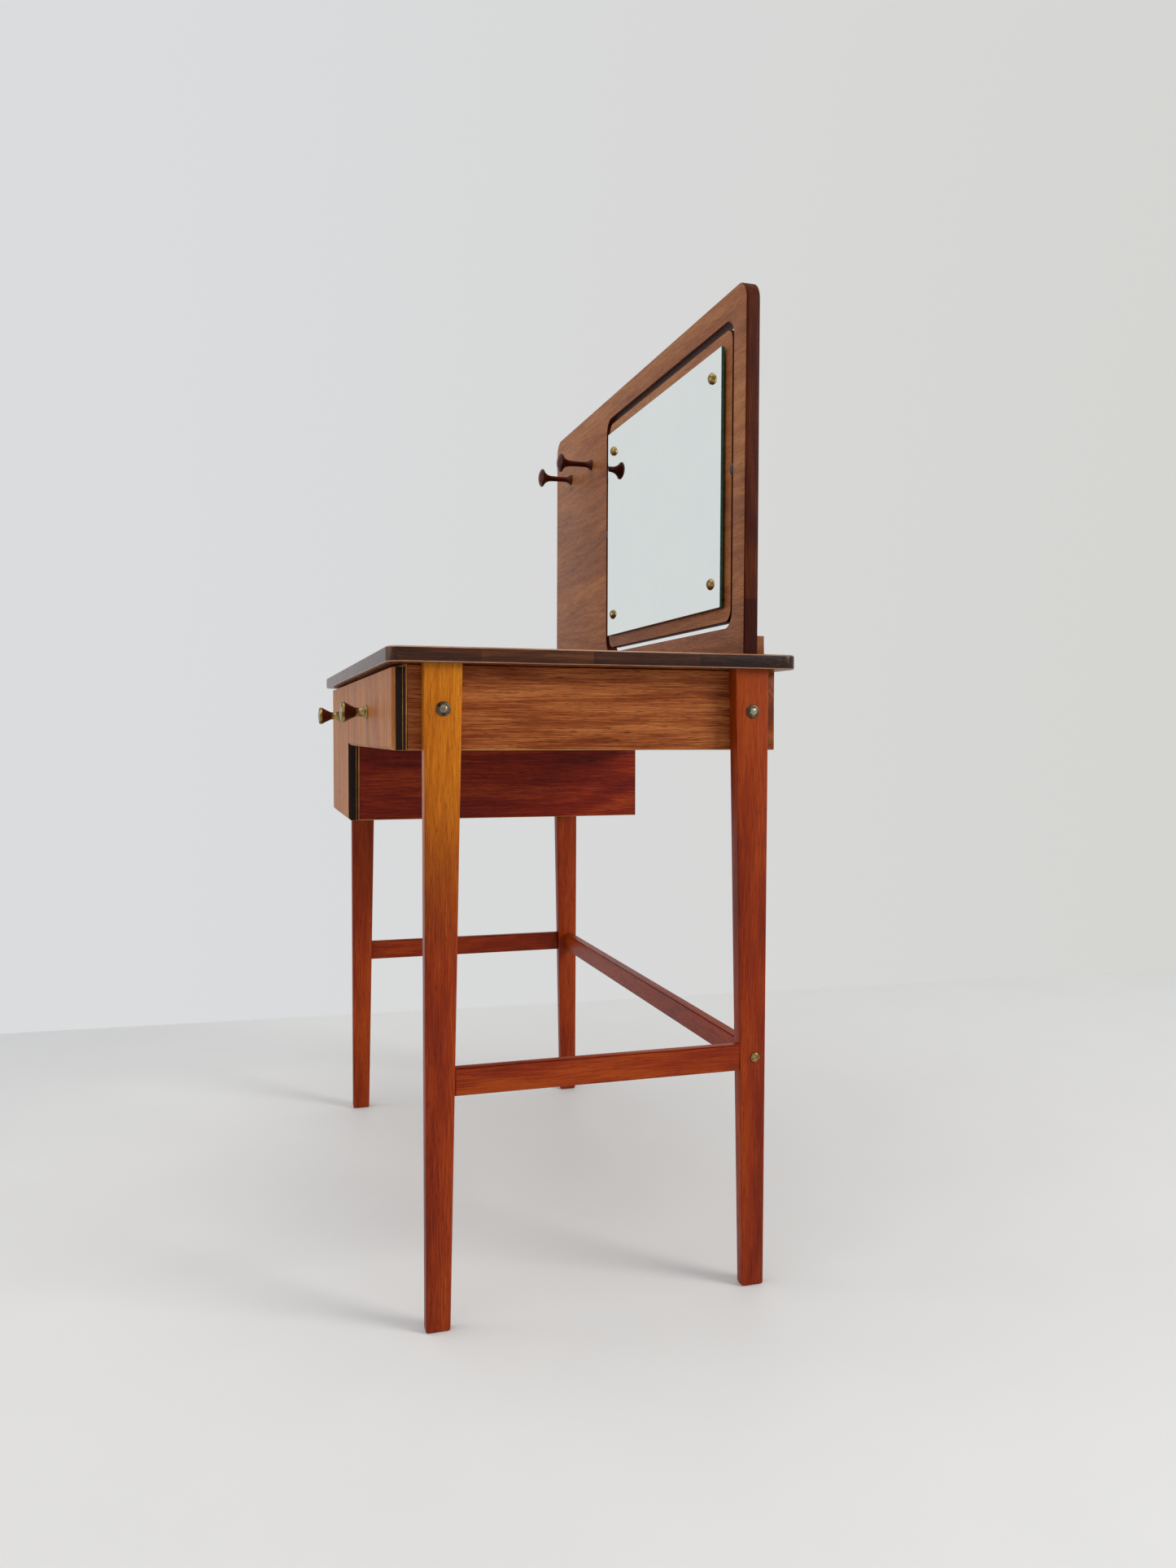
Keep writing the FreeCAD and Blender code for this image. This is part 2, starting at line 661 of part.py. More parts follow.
def pivot_pins():
    """The two pins that the mirror turns on, each half in the board and half in the panel."""
    length = PIN_IN_BOARD + TILT_GAP + PIN_IN_PANEL
    right = rod(at(tilt_right - PIN_IN_BOARD, panel_middle, pivot_height), X_AXIS, length, PIN_RADIUS)
    left = rod(at(tilt_left + PIN_IN_BOARD, panel_middle, pivot_height), X_AXIS * -1, length,
               PIN_RADIUS)
    return [left, right]


def pivot_bores():
    """The holes in the panel that the pins turn in."""
    length = PIN_IN_PANEL + 1
    radius = PIN_RADIUS + PIVOT_PLAY
    right = rod(at(opening_right - NEAR, panel_middle, pivot_height), X_AXIS, length, radius)
    left = rod(at(opening_left + NEAR, panel_middle, pivot_height), X_AXIS * -1, length, radius)
    return [left, right]


def make_panel():
    panel = plate(-panel_right, panel_right, panel_front, panel_rear, TOP_HEIGHT, panel_top,
                  PANEL_CORNER, lambda middle: middle.z > panel_top - NEAR)
    opening = plate(opening_left, opening_right, panel_front, panel_rear, opening_under,
                    opening_top, OPENING_CORNER)
    panel = panel.cut(opening)
    panel = eased(panel, PANEL_EASE, "y", panel_front, panel_rear)
    panel = cleat_screw_holes(panel)
    for spot in peg_spots():
        panel = panel.cut(rod(spot, Y_AXIS, BOARD, SMALL_SCREW_RADIUS + SCREW_PLAY))
    for bore in pivot_bores():
        panel = panel.cut(bore)
    save("mirror_panel", panel)

    reach = panel_right - CLEAT_INSET
    cleat = block(-reach, reach, panel_rear, panel_rear + CLEAT_DEPTH, TOP_HEIGHT,
                  TOP_HEIGHT + CLEAT_HEIGHT)
    cleat = rounded(cleat, X_AXIS, CLEAT_EASE, lambda middle: (
        middle.y > panel_rear + NEAR and middle.z > TOP_HEIGHT + NEAR))
    save("panel_cleat", cleat_screw_holes(cleat))
    screws = []
    for down, forward in cleat_screw_spots():
        screws.append(screw(down, Z_AXIS * -1, CLEAT_HEIGHT + SMALL_SCREW_GRIP,
                            SMALL_SCREW_RADIUS, SMALL_SCREW_HEAD, SMALL_HEAD_HEIGHT))
        screws.append(screw(forward, Y_AXIS * -1, CLEAT_DEPTH + SMALL_SCREW_GRIP,
                            SMALL_SCREW_RADIUS, SMALL_SCREW_HEAD, SMALL_HEAD_HEIGHT))
    save("cleat_screws", *screws)


def make_pegs():
    """Two turned pegs with a trumpet head, screwed on from behind the panel."""
    widest = PEG_LENGTH - PEG_DOME
    screws = []
    for name, spot in zip(("peg_right", "peg_left"), peg_spots()):
        peg = turned([
            ("line", [(PEG_FOOT_RADIUS, 0)]),
            ("line", [(PEG_FOOT_RADIUS, 1)]),
            ("arc", [(PEG_STEM_RADIUS + 1.2, 4.5), (PEG_STEM_RADIUS, PEG_LENGTH * 0.2)]),
            ("line", [(PEG_STEM_RADIUS, PEG_LENGTH * 0.55)]),
            ("arc", [(PEG_STEM_RADIUS + 3.2, PEG_LENGTH * 0.77),
                     (PEG_HEAD_RADIUS - 0.5, widest - PEG_RIM)]),
            ("arc", [(PEG_HEAD_RADIUS, widest), (PEG_HEAD_RADIUS - 1, widest + PEG_RIM * 0.7)]),
            dome(PEG_HEAD_RADIUS - 1, widest + PEG_RIM * 0.7, PEG_LENGTH),
        ], spot, Y_AXIS * -1)
        start = spot + Y_AXIS * BOARD
        grip = BOARD + PEG_SCREW_GRIP
        bore = rod(start, Y_AXIS * -1, grip, SMALL_SCREW_RADIUS + SCREW_PLAY)
        save(name, peg.cut(bore))
        screws.append(screw(start, Y_AXIS * -1, grip, SMALL_SCREW_RADIUS, SMALL_SCREW_HEAD,
                            SMALL_HEAD_HEIGHT))
    save("peg_screws", *screws)


def glass_screw_spots():
    middle = (tilt_left + tilt_right) / 2 + GLASS_SHIFT
    height = (tilt_under + tilt_top) / 2
    across = GLASS_WIDTH / 2 - GLASS_SCREW_INSET_X
    up = GLASS_HEIGHT / 2 - GLASS_SCREW_INSET_Z
    return [at(middle + side * across, glass_front, height + level * up)
            for side in (-1, 1) for level in (-1, 1)]


def make_mirror():
    board = plate(tilt_left, tilt_right, tilt_front, tilt_rear, tilt_under, tilt_top, TILT_CORNER)
    board = eased(board, TILT_EASE, "y", tilt_front, tilt_rear)
    pins = pivot_pins()
    for pin in pins:
        board = board.cut(pin)

    middle = (tilt_left + tilt_right) / 2 + GLASS_SHIFT
    height = (tilt_under + tilt_top) / 2
    glass = plate(middle - GLASS_WIDTH / 2, middle + GLASS_WIDTH / 2, glass_front, glass_rear,
                  height - GLASS_HEIGHT / 2, height + GLASS_HEIGHT / 2, GLASS_CORNER)

    depth = GLASS_THICK + PAD_THICK + SMALL_SCREW_GRIP
    screws = []
    pads = []
    for spot in glass_screw_spots():
        hole = rod(spot, Y_AXIS, depth, SMALL_SCREW_RADIUS + SCREW_PLAY)
        board = board.cut(hole)
        glass = glass.cut(rod(spot, Y_AXIS, GLASS_THICK, SMALL_SCREW_RADIUS + GLASS_SCREW_PLAY))
        pad = rod(spot + Y_AXIS * GLASS_THICK, Y_AXIS, PAD_THICK, PAD_RADIUS)
        pads.append(pad.cut(hole))
        screws.append(screw(spot, Y_AXIS, depth, SMALL_SCREW_RADIUS, GLASS_SCREW_HEAD,
                            GLASS_SCREW_DOME))
    save("mirror_board", board)
    save("mirror_glass", glass)
    save("glass_pads", *pads)
    save("glass_screws", *screws)
    save("pivot_pins", *pins)

    washer_length = TILT_GAP - RUNNING_GAP
    washers = []
    for start, outward in ((tilt_right, X_AXIS), (tilt_left, X_AXIS * -1)):
        seat = at(start, panel_middle, pivot_height)
        washer = rod(seat, outward, washer_length, PIVOT_WASHER_RADIUS)
        washers.append(washer.cut(rod(seat, outward, washer_length, PIN_RADIUS)))
    save("pivot_washers", *washers)


os.makedirs("parts", exist_ok=True)
make_legs()
make_leg_screws()
make_side_stretchers()
make_back_stretcher()
make_top()
make_case()
make_drawers()
make_panel()
make_pegs()
make_mirror()
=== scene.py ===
import json
import math

import bmesh
import bpy
from mathutils import Matrix, Vector


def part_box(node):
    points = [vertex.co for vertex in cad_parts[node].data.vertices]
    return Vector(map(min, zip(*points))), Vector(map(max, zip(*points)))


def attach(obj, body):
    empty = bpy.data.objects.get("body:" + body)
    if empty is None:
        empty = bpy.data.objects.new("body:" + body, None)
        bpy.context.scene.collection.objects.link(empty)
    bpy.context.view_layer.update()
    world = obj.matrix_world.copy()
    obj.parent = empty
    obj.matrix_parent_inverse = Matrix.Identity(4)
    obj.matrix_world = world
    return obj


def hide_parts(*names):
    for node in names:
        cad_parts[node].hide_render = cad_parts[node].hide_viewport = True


# The looks of a teak dressing table with a tilting mirror.  Metres, in the frame of the
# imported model.  Every board, leg and turned piece is made again here with worked edges,
# at the size and place of its node.

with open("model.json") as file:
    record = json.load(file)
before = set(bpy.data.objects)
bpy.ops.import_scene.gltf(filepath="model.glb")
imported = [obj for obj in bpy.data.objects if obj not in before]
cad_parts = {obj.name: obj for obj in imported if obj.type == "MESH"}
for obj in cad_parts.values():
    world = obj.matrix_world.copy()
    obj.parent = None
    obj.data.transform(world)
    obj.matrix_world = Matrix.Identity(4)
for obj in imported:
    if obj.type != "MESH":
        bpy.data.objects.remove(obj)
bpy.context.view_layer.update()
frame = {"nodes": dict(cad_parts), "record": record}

MM = 0.001
BODIES = frame["record"]["behaviour"]["bodies"]
BODY_OF = {node: body for body, nodes in BODIES.items() for node in nodes}

# ---- Sizes that the edges and fittings have ---------------------------------------

BOARD_EASE = 0.7 * MM           # sanded edge of a veneered board
SOLID_EASE = 1.6 * MM           # rounded edge of a solid leg or stretcher
ROUND_STEPS = 4                 # divisions of a quarter round edge
LIPPING = 9.0 * MM              # width of the solid strip round the top
SCREW_HEAD = 2.2 * MM           # height of the outer screws' heads
SLOT = (1.5 * MM, 1.1 * MM)     # width and depth of their slots
STEM_WAIST = 0.64               # a knob stem's waist as a share of its foot
PEG_STEM = 0.28                 # a peg's stem as a share of its head
BEVEL_ROUND = 0.08              # share of a bevel that is rounded off at each side
LINE_WIDTH = 0.5 * MM           # width of the pale line painted on a drawer front's end as a highlight
SEAM = 0.18 * MM                # depth of the line where a strip meets the veneer
TOP_CORNER = 16.0 * MM
TOP_EASE = 2.4 * MM
PANEL_CORNER = 22.0 * MM
OPENING_CORNER = 20.0 * MM
TILT_CORNER = 15.0 * MM
FACE_BEVEL = 3.5 * MM
HIGHLIGHT_LINE_SET_BACK = 3.0 * MM            # how far in front of a drawer front's back its painted highlight line runs
FOOT_EASE = 2.6 * MM
GLASS_BEVEL = 0.8 * MM
CORNER_STEPS = 12
FLOOR_CORNERS = ((-1.13, -2.6), (3.2, -2.6), (3.2, 4.0), (-0.78, 4.0))
EDGE_HIGHLIGHT_SLOPE = (0.35, 0.97)           # how much the part of a round edge with the painted highlight looks up or down
EDGE_TURN = 0.93                # how little a face may look along a board to count as edge
TURNED_STEPS = 72


# ---- Meshes -----------------------------------------------------------------------

def piece_from(name, mesh_data, material, node, angle=35, edges=None):
    """Turn a bmesh into a shown piece that rides and is finished like its node."""
    bmesh.ops.remove_doubles(mesh_data, verts=mesh_data.verts, dist=1e-7)
    bmesh.ops.recalc_face_normals(mesh_data, faces=mesh_data.faces)
    mesh = bpy.data.meshes.new(name)
    mesh_data.to_mesh(mesh)
    mesh_data.free()
    mesh.shade_smooth()
    mesh.set_sharp_from_angle(angle=math.radians(angle))
    mesh.materials.append(material)
    if edges:
        axis, edge_material = edges
        mesh.materials.append(edge_material)
        for face in mesh.polygons:
            face.material_index = int(abs(face.normal["xyz".index(axis)]) < EDGE_TURN)
    piece = bpy.data.objects.new(name, mesh)
    bpy.context.scene.collection.objects.link(piece)
    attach(piece, BODY_OF[node])
    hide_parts(node)
    return piece


def rounded_rectangle(low, high, radii, steps=CORNER_STEPS):
    """Points round a rectangle, anticlockwise from the low corner, a radius for each."""
    corners = (((low[0], low[1]), 180), ((high[0], low[1]), 270),
               ((high[0], high[1]), 0), ((low[0], high[1]), 90))
    points = []
    for ((x, y), start), radius in zip(corners, radii):
        centre_x = x + radius if x == low[0] else x - radius
        centre_y = y + radius if y == low[1] else y - radius
        for step in range(steps + 1):
            angle = math.radians(start + 90 * step / steps)
            points.append((centre_x + radius * math.cos(angle), centre_y + radius * math.sin(angle)))
    return points


def inset(outline, amount):
    """The outline moved in by an amount, or out where the amount is negative."""
    moved = []
    count = len(outline)
    for index in range(count):
        before = Vector(outline[index - 1])
        here = Vector(outline[index])
        after = Vector(outline[(index + 1) % count])
        first = (here - before).normalized()
        second = (after - here).normalized()
        inward = Vector((-first.y - second.y, first.x + second.x)) / 2
        moved.append(tuple(here + inward * (amount / max(inward.length_squared, 0.2))))
    return moved


def placed(point, level, axis):
    """A point of an outline at a level along the axis that the outline faces."""
    first, second = point
    return {"x": (level, first, second), "y": (first, level, second), "z": (first, second, level)}[axis]


def bridge(mesh, lower, upper):
    """Quads between two rings of as many vertices."""
    count = len(lower)
    for index in range(count):
        after = (index + 1) % count
        mesh.faces.new((lower[index], lower[after], upper[after], upper[index]))


def ring(mesh, outline, level, axis):
    return [mesh.verts.new(placed(point, level, axis)) for point in outline]


def close(mesh, rings):
    """Fill the flat area between the rings: the first is its edge, the rest are holes."""
    edges = []
    for one in rings:
        for index, vertex in enumerate(one):
            edges.append(mesh.edges.get((vertex, one[(index + 1) % len(one)])))
    bmesh.ops.triangle_fill(mesh, edges=edges, use_beauty=True)


def quarter_round(ease, steps=ROUND_STEPS):
    """(inset, depth) pairs from a face out to the side, round a quarter circle."""
    pairs = []
    for step in range(steps + 1):
        angle = math.pi / 2 * step / steps
        pairs.append((ease * (1 - math.sin(angle)), ease * (1 - math.cos(angle))))
    return pairs


def board(name, node, outline, holes, axis, levels, ease, material, edge=None):
    """A board of any outline, with holes, whose edges are eased all round."""
    mesh = bmesh.new()
    low_level, high_level = levels
    low_rings = []
    high_rings = []
    for index, path in enumerate([outline] + holes):
        sign = 1 if index == 0 else -1
        rings = [ring(mesh, inset(path, sign * back), low_level + down, axis)
                 for back, down in quarter_round(ease)]
        rings += [ring(mesh, inset(path, sign * back), high_level - down, axis)
                  for back, down in reversed(quarter_round(ease))]
        for lower, upper in zip(rings, rings[1:]):
            bridge(mesh, lower, upper)
        low_rings.append(rings[0])
        high_rings.append(rings[-1])
    close(mesh, low_rings)
    close(mesh, high_rings)
    return piece_from(name, mesh, material, node, edges=(axis, edge) if edge else None)


def plain_board(node, axis, material, ease=BOARD_EASE, corner=0.4 * MM, edge=None):
    """A rectangular board at its node's own box, facing an axis."""
    low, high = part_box(node)
    index = "xyz".index(axis)
    flat = [place for place in range(3) if place != index]
    outline = rounded_rectangle([low[i] for i in flat], [high[i] for i in flat], [corner] * 4, 3)
    return board(node + "_board", node, outline, [], axis, (low[index], high[index]), ease,
                 material, edge)


def turned(name, node, profile, foot, direction, material, steps=TURNED_STEPS):
    """A turned piece: (radius, along) points from its foot along a direction."""
    mesh = bmesh.new()
    turn = Vector((0, 0, 1)).rotation_difference(Vector(direction)).to_matrix()
    rings = []
    for radius, along in profile:
        reach = max(radius, 1e-6)
        rings.append([mesh.verts.new(Vector(foot) + turn @ Vector((
            reach * math.cos(math.tau * step / steps),
            reach * math.sin(math.tau * step / steps), along))) for step in range(steps)])
    for lower, upper in zip(rings, rings[1:]):
        bridge(mesh, lower, upper)
    mesh.faces.new(rings[0])
    mesh.faces.new(rings[-1])
    return piece_from(name, mesh, material, node, 50)


def bow(start, end, swell, steps=10):
    """Points along a curve between two profile points that swells to its left."""
    first = Vector(start)
    last = Vector(end)
    side = (last - first).orthogonal().normalized()
    points = []
    for step in range(steps + 1):
        share = step / steps
        point = first.lerp(last, share) + side * swell * 4 * share * (1 - share)
        points.append(tuple(point))
    return points


# ---- Materials --------------------------------------------------------------------

def linear(code):
    """An sRGB hex colour as linear red, green, blue and alpha."""
    parts = [int(code[place:place + 2], 16) / 255 for place in (1, 3, 5)]
    return [part / 12.92 if part <= 0.04045 else ((part + 0.055) / 1.055) ** 2.4
            for part in parts] + [1.0]


def add(tree, kind, inputs=None, stops=(), **settings):
    """Add one node with its settings; an input is a value or another node's socket.

    The stops are a colour ramp's places and hex colours.
    """
    node = tree.nodes.new(kind)
    for name, value in settings.items():
        setattr(node, name, value)
    for name, value in (inputs or {}).items():
        if isinstance(value, bpy.types.NodeSocket):
            tree.links.new(value, node.inputs[name])
        else:
            node.inputs[name].default_value = value
    for _ in stops[2:]:
        node.color_ramp.elements.new(0.5)
    for index, (place, code) in enumerate(stops):
        node.color_ramp.elements[index].position = place
        node.color_ramp.elements[index].color = linear(code)
    return node


def blank(name):
    """A new material: its tree and its shader."""
    material = bpy.data.materials.new(name)
    material.use_nodes = True
    return material, material.node_tree, material.node_tree.nodes["Principled BSDF"]


TURN_TO_GRAIN = {"x": (0, 0, 0), "y": (0, 0, -math.pi / 2), "z": (0, math.pi / 2, 0)}
SEED_STEP = (310, 170, 230)     # how far apart two boards are cut from the same log
RING_TURNS = 75.0               # how often the rings go from dark to light and back
RING_WEIGHT = 0.1               # how much each layer counts in the tone
FIBRE_WEIGHT = 0.7
PATCH_WEIGHT = 0.6
JOINT_WEIGHT = 0.46
TONE_PLACES = (0.47, 0.65, 0.83)
HIGHLIGHT_PLACES = (0.5, 0.65, 0.8)
PORE_BROWN = "#6A3A22"


def wood(name, tones, along, seed, roughness=0.4, pore_depth=0.5, figure=0.5, gloss_level=0.14,
         faded=None, joint_mm=0.0):
    """Sawn or sliced wood under an oil or lacquer finish.

    The grain runs along one axis.  The rings of the trunk give slow bands, the fibres fine
    long streaks, and the open pores short dark flecks that also take the finish unevenly.
    Pores of teak are 0.2 mm wide: they are drawn 0.6 mm wide to show.  Between two heights the colour
    can be blended into lighter tones, a painted highlight where light falls on the upper part of a leg,
    and a strip is jointed from short lengths.
    """
    material, tree, shader = blank(name)
    place = add(tree, "ShaderNodeTexCoord").outputs["Object"]
    grain = add(tree, "ShaderNodeMapping", {
        "Vector": place, "Location": [seed * step for step in SEED_STEP],
        "Rotation": TURN_TO_GRAIN[along], "Scale": (1000, 1000, 1000)}).outputs["Vector"]

    def streaked(length, width, detail, distortion=0.0):
        """Streaks that are so many millimetres long and wide."""
        size = (1 / length, 1 / width, 1 / width)
        spread = add(tree, "ShaderNodeVectorMath", {0: grain, 1: size}, operation="MULTIPLY")
        return add(tree, "ShaderNodeTexNoise", {
            "Vector": spread.outputs["Vector"], "Scale": 1.0, "Detail": detail, "Roughness": 0.6,
            "Distortion": distortion}).outputs["Fac"]

    growth = streaked(700, 60, 1.5, 0.15)
    turns = add(tree, "ShaderNodeMath", {0: growth, 1: RING_TURNS}, operation="MULTIPLY")
    rings = add(tree, "ShaderNodeMath", {0: turns.outputs[0]}, operation="SINE").outputs[0]
    fibres = streaked(42, 1.1, 3.0)
    patches = streaked(260, 45, 2.0)
    pores = add(tree, "ShaderNodeMapRange", {
        "Value": streaked(12, 0.6, 1.0), "From Min": 0.57, "From Max": 0.7}).outputs["Result"]

    tone = 0.0
    for layer, weight in ((rings, RING_WEIGHT * figure), (fibres, FIBRE_WEIGHT),
                          (patches, PATCH_WEIGHT)):
        tone = add(tree, "ShaderNodeMath", {0: layer, 1: weight, 2: tone},
                   operation="MULTIPLY_ADD").outputs[0]
    if joint_mm:
        apart = add(tree, "ShaderNodeSeparateXYZ", {"Vector": place}).outputs[along.upper()]
        count = add(tree, "ShaderNodeMath", {0: apart, 1: 1000 / joint_mm}, operation="MULTIPLY")
        count = add(tree, "ShaderNodeMath", {0: count.outputs[0]}, operation="FLOOR")
        count = add(tree, "ShaderNodeMath", {0: count.outputs[0], 1: seed}, operation="ADD")
        pick = add(tree, "ShaderNodeTexWhiteNoise", {"W": count.outputs[0]}, noise_dimensions="1D")
        pick = add(tree, "ShaderNodeMath", {0: pick.outputs["Value"], 1: 0.5}, operation="SUBTRACT")
        tone = add(tree, "ShaderNodeMath", {0: pick.outputs[0], 1: JOINT_WEIGHT, 2: tone},
                   operation="MULTIPLY_ADD").outputs[0]
    colour = add(tree, "ShaderNodeValToRGB", {"Fac": tone},
                 stops=list(zip(TONE_PLACES, tones))).outputs["Color"]
    # Painted highlight: between two heights the colour is blended towards the lighter tones.
    if faded:
        low, high, most, faded_tones = faded
        height = add(tree, "ShaderNodeSeparateXYZ", {"Vector": place}).outputs["Z"]
        share = add(tree, "ShaderNodeMapRange", {
            "Value": height, "From Min": low, "From Max": high, "To Max": most},
            interpolation_type="SMOOTHSTEP").outputs["Result"]
        light = add(tree, "ShaderNodeValToRGB", {"Fac": tone},
                    stops=list(zip(HIGHLIGHT_PLACES, faded_tones))).outputs["Color"]
        colour = add(tree, "ShaderNodeMix", {"Factor": share, "A": colour, "B": light},
                     data_type="RGBA").outputs["Result"]
    stain = add(tree, "ShaderNodeMath", {0: pores, 1: pore_depth}, operation="MULTIPLY")
    darkened = add(tree, "ShaderNodeMix", {
        "Factor": stain.outputs[0], "A": colour, "B": linear(PORE_BROWN)},
        data_type="RGBA", blend_type="MULTIPLY")

    raised = add(tree, "ShaderNodeMath", {0: fibres, 1: 0.5}, operation="MULTIPLY")
    relief = add(tree, "ShaderNodeMath", {0: raised.outputs[0], 1: pores}, operation="SUBTRACT")
    bump = add(tree, "ShaderNodeBump", {
        "Height": relief.outputs[0], "Strength": 0.2, "Distance": 0.0003})
    uneven = add(tree, "ShaderNodeMath", {0: pores, 1: patches}, operation="ADD")
    gloss = add(tree, "ShaderNodeMapRange", {
        "Value": uneven.outputs[0], "From Min": 0.2, "From Max": 1.4,
        "To Min": roughness - 0.05, "To Max": roughness + 0.12}).outputs["Result"]
    tree.links.new(darkened.outputs["Result"], shader.inputs["Base Color"])
    tree.links.new(gloss, shader.inputs["Roughness"])
    tree.links.new(bump.outputs["Normal"], shader.inputs["Normal"])
    shader.inputs["Specular IOR Level"].default_value = gloss_level
    return material


def metal(name, bright, tarnished, roughness, patch_mm):
    """Turned or pressed metal that has gone dull in patches, with fine turning marks."""
    material, tree, shader = blank(name)
    place = add(tree, "ShaderNodeTexCoord").outputs["Object"]
    patches = add(tree, "ShaderNodeTexNoise", {
        "Vector": place, "Scale": 1000 / patch_mm, "Detail": 3.0}).outputs["Fac"]
    specks = add(tree, "ShaderNodeTexNoise", {
        "Vector": place, "Scale": 3000 / patch_mm, "Detail": 2.0}).outputs["Fac"]
    share = add(tree, "ShaderNodeMapRange", {
        "Value": patches, "From Min": 0.38, "From Max": 0.66}).outputs["Result"]
    colour = add(tree, "ShaderNodeMix", {
        "Factor": share, "A": linear(bright), "B": linear(tarnished)}, data_type="RGBA")
    gloss = add(tree, "ShaderNodeMapRange", {
        "Value": specks, "From Min": 0.3, "From Max": 0.7,
        "To Min": roughness - 0.06, "To Max": roughness + 0.12}).outputs["Result"]
    bump = add(tree, "ShaderNodeBump", {"Height": specks, "Strength": 0.1, "Distance": 0.0001})
    shader.inputs["Metallic"].default_value = 1.0
    tree.links.new(colour.outputs["Result"], shader.inputs["Base Color"])
    tree.links.new(gloss, shader.inputs["Roughness"])
    tree.links.new(bump.outputs["Normal"], shader.inputs["Normal"])
    return material


def silvered_glass():
    """Float glass silvered behind: a clean reflection, a little green, barely smeared."""
    material, tree, shader = blank("silvered_float_glass")
    place = add(tree, "ShaderNodeTexCoord").outputs["Object"]
    smears = add(tree, "ShaderNodeTexNoise", {
        "Vector": place, "Scale": 14.0, "Detail": 4.0, "Distortion": 0.8}).outputs["Fac"]
    gloss = add(tree, "ShaderNodeMapRange", {
        "Value": smears, "From Min": 0.5, "From Max": 0.75, "To Min": 0.0, "To Max": 0.035})
    tint = add(tree, "ShaderNodeMix", {
        "Factor": smears, "A": linear("#F7FBF8"), "B": linear("#EFF6F2")}, data_type="RGBA")
    shader.inputs["Metallic"].default_value = 1.0
    tree.links.new(tint.outputs["Result"], shader.inputs["Base Color"])
    tree.links.new(gloss.outputs["Result"], shader.inputs["Roughness"])
    return material


def ground_glass_edge():
    """The ground edge of float glass: deep bottle green, since it is seen along the sheet."""
    material, tree, shader = blank("ground_green_glass_edge")
    place = add(tree, "ShaderNodeTexCoord").outputs["Object"]
    chips = add(tree, "ShaderNodeTexNoise", {"Vector": place, "Scale": 160.0, "Detail": 3.0})
    tint = add(tree, "ShaderNodeMix", {
        "Factor": chips.outputs["Fac"], "A": linear("#0F2A22"), "B": linear("#3C6A5A")},
        data_type="RGBA")
    gloss = add(tree, "ShaderNodeMapRange", {
        "Value": chips.outputs["Fac"], "To Min": 0.08, "To Max": 0.3})
    tree.links.new(tint.outputs["Result"], shader.inputs["Base Color"])
    tree.links.new(gloss.outputs["Result"], shader.inputs["Roughness"])
    shader.inputs["IOR"].default_value = 1.52
    return material


def fibrous(name, dark, light, fibre_mm, roughness):
    """Pressed fibre or felt: matted short fibres in two tones, with no shine."""
    material, tree, shader = blank(name)
    place = add(tree, "ShaderNodeTexCoord").outputs["Object"]
    mat = add(tree, "ShaderNodeTexNoise", {
        "Vector": place, "Scale": 1000 / fibre_mm, "Detail": 5.0, "Distortion": 1.5}).outputs["Fac"]
    colour = add(tree, "ShaderNodeMix", {
        "Factor": mat, "A": linear(dark), "B": linear(light)}, data_type="RGBA")
    gloss = add(tree, "ShaderNodeMapRange", {
        "Value": mat, "To Min": roughness - 0.1, "To Max": roughness + 0.1})
    bump = add(tree, "ShaderNodeBump", {"Height": mat, "Strength": 0.4, "Distance": 0.0003})
    tree.links.new(colour.outputs["Result"], shader.inputs["Base Color"])
    tree.links.new(gloss.outputs["Result"], shader.inputs["Roughness"])
    tree.links.new(bump.outputs["Normal"], shader.inputs["Normal"])
    return material


# Sliced teak veneer, lacquered: red-brown and open pored, with a low sheen.
VENEER = ("#5C2208", "#854016", "#AC6634")
# The drawer's housing: darker, deeper red tones, painted shade for the side that stands in the shadow
# of the top and the legs.
SHADE_PAINTED_RED = ("#5A1005", "#7A1E08", "#9A3C12")
# The drawer fronts and the mirror's panel: a browner, quieter veneer.
PALE_VENEER = ("#8A4A1C", "#A6642C", "#BA7E42")
# The mirror's panel and the board that tilts in it: a shade browner.
PANEL_VENEER = ("#74401E", "#8F552C", "#A46C3E")
# Solid teak for the legs and stretchers, under a clear lacquer: orange-red and even.
SOLID = ("#641A04", "#832906", "#9C3F0C")
# The same wood in lighter amber tones: painted highlight blended into the upper part of the legs, where
# the light falls.
PAINTED_HIGHLIGHT_AMBER = ("#A45808", "#B9690B", "#CA8018")
# Jointed strips on the edges of the boards, stained dark by handling.
LIPPING_TONES = ("#1C0A04", "#3A1A0A", "#5C3216")
# A thin pale strip on the eased edges of the boards and a line on the drawer fronts' ends: painted
# highlight.
PALE_EDGE_HIGHLIGHT = ("#8A5A28", "#B07C40", "#C99A5C")
# Planed beech and birch ply inside, unfinished: pale and even.
BEECH = ("#BC9064", "#CDA67C", "#DDBC96")
SHEET = ("#C09A70", "#D0AD84", "#DFC29E")


def veneer(along, seed, tones=VENEER, **more):
    return wood("teak_veneer_%s_%d" % (along, seed), tones, along, seed, pore_depth=0.7, **more)


def solid_teak(along, seed, **more):
    return wood("solid_teak_%s_%d" % (along, seed), SOLID, along, seed, roughness=0.36,
                figure=0.3, **more)


# Strips glued round the top and the panel, in short lengths of different tone.
lipping_y = wood("jointed_teak_lipping_y", LIPPING_TONES, "y", 11, roughness=0.28, joint_mm=118,
                 gloss_level=0.22)
lipping_z = wood("jointed_teak_lipping_z", ("#34100A", "#4C1E0C", "#5E3212"), "z", 17,
                 roughness=0.45, joint_mm=190, gloss_level=0.06)
# The rounded edges of the top, pale where they turn up or down: painted highlight.
top_edge_highlight = wood("top_edge_highlight", ("#6E4430", "#93684E", "#B08A70"), "y", 18, roughness=0.3)
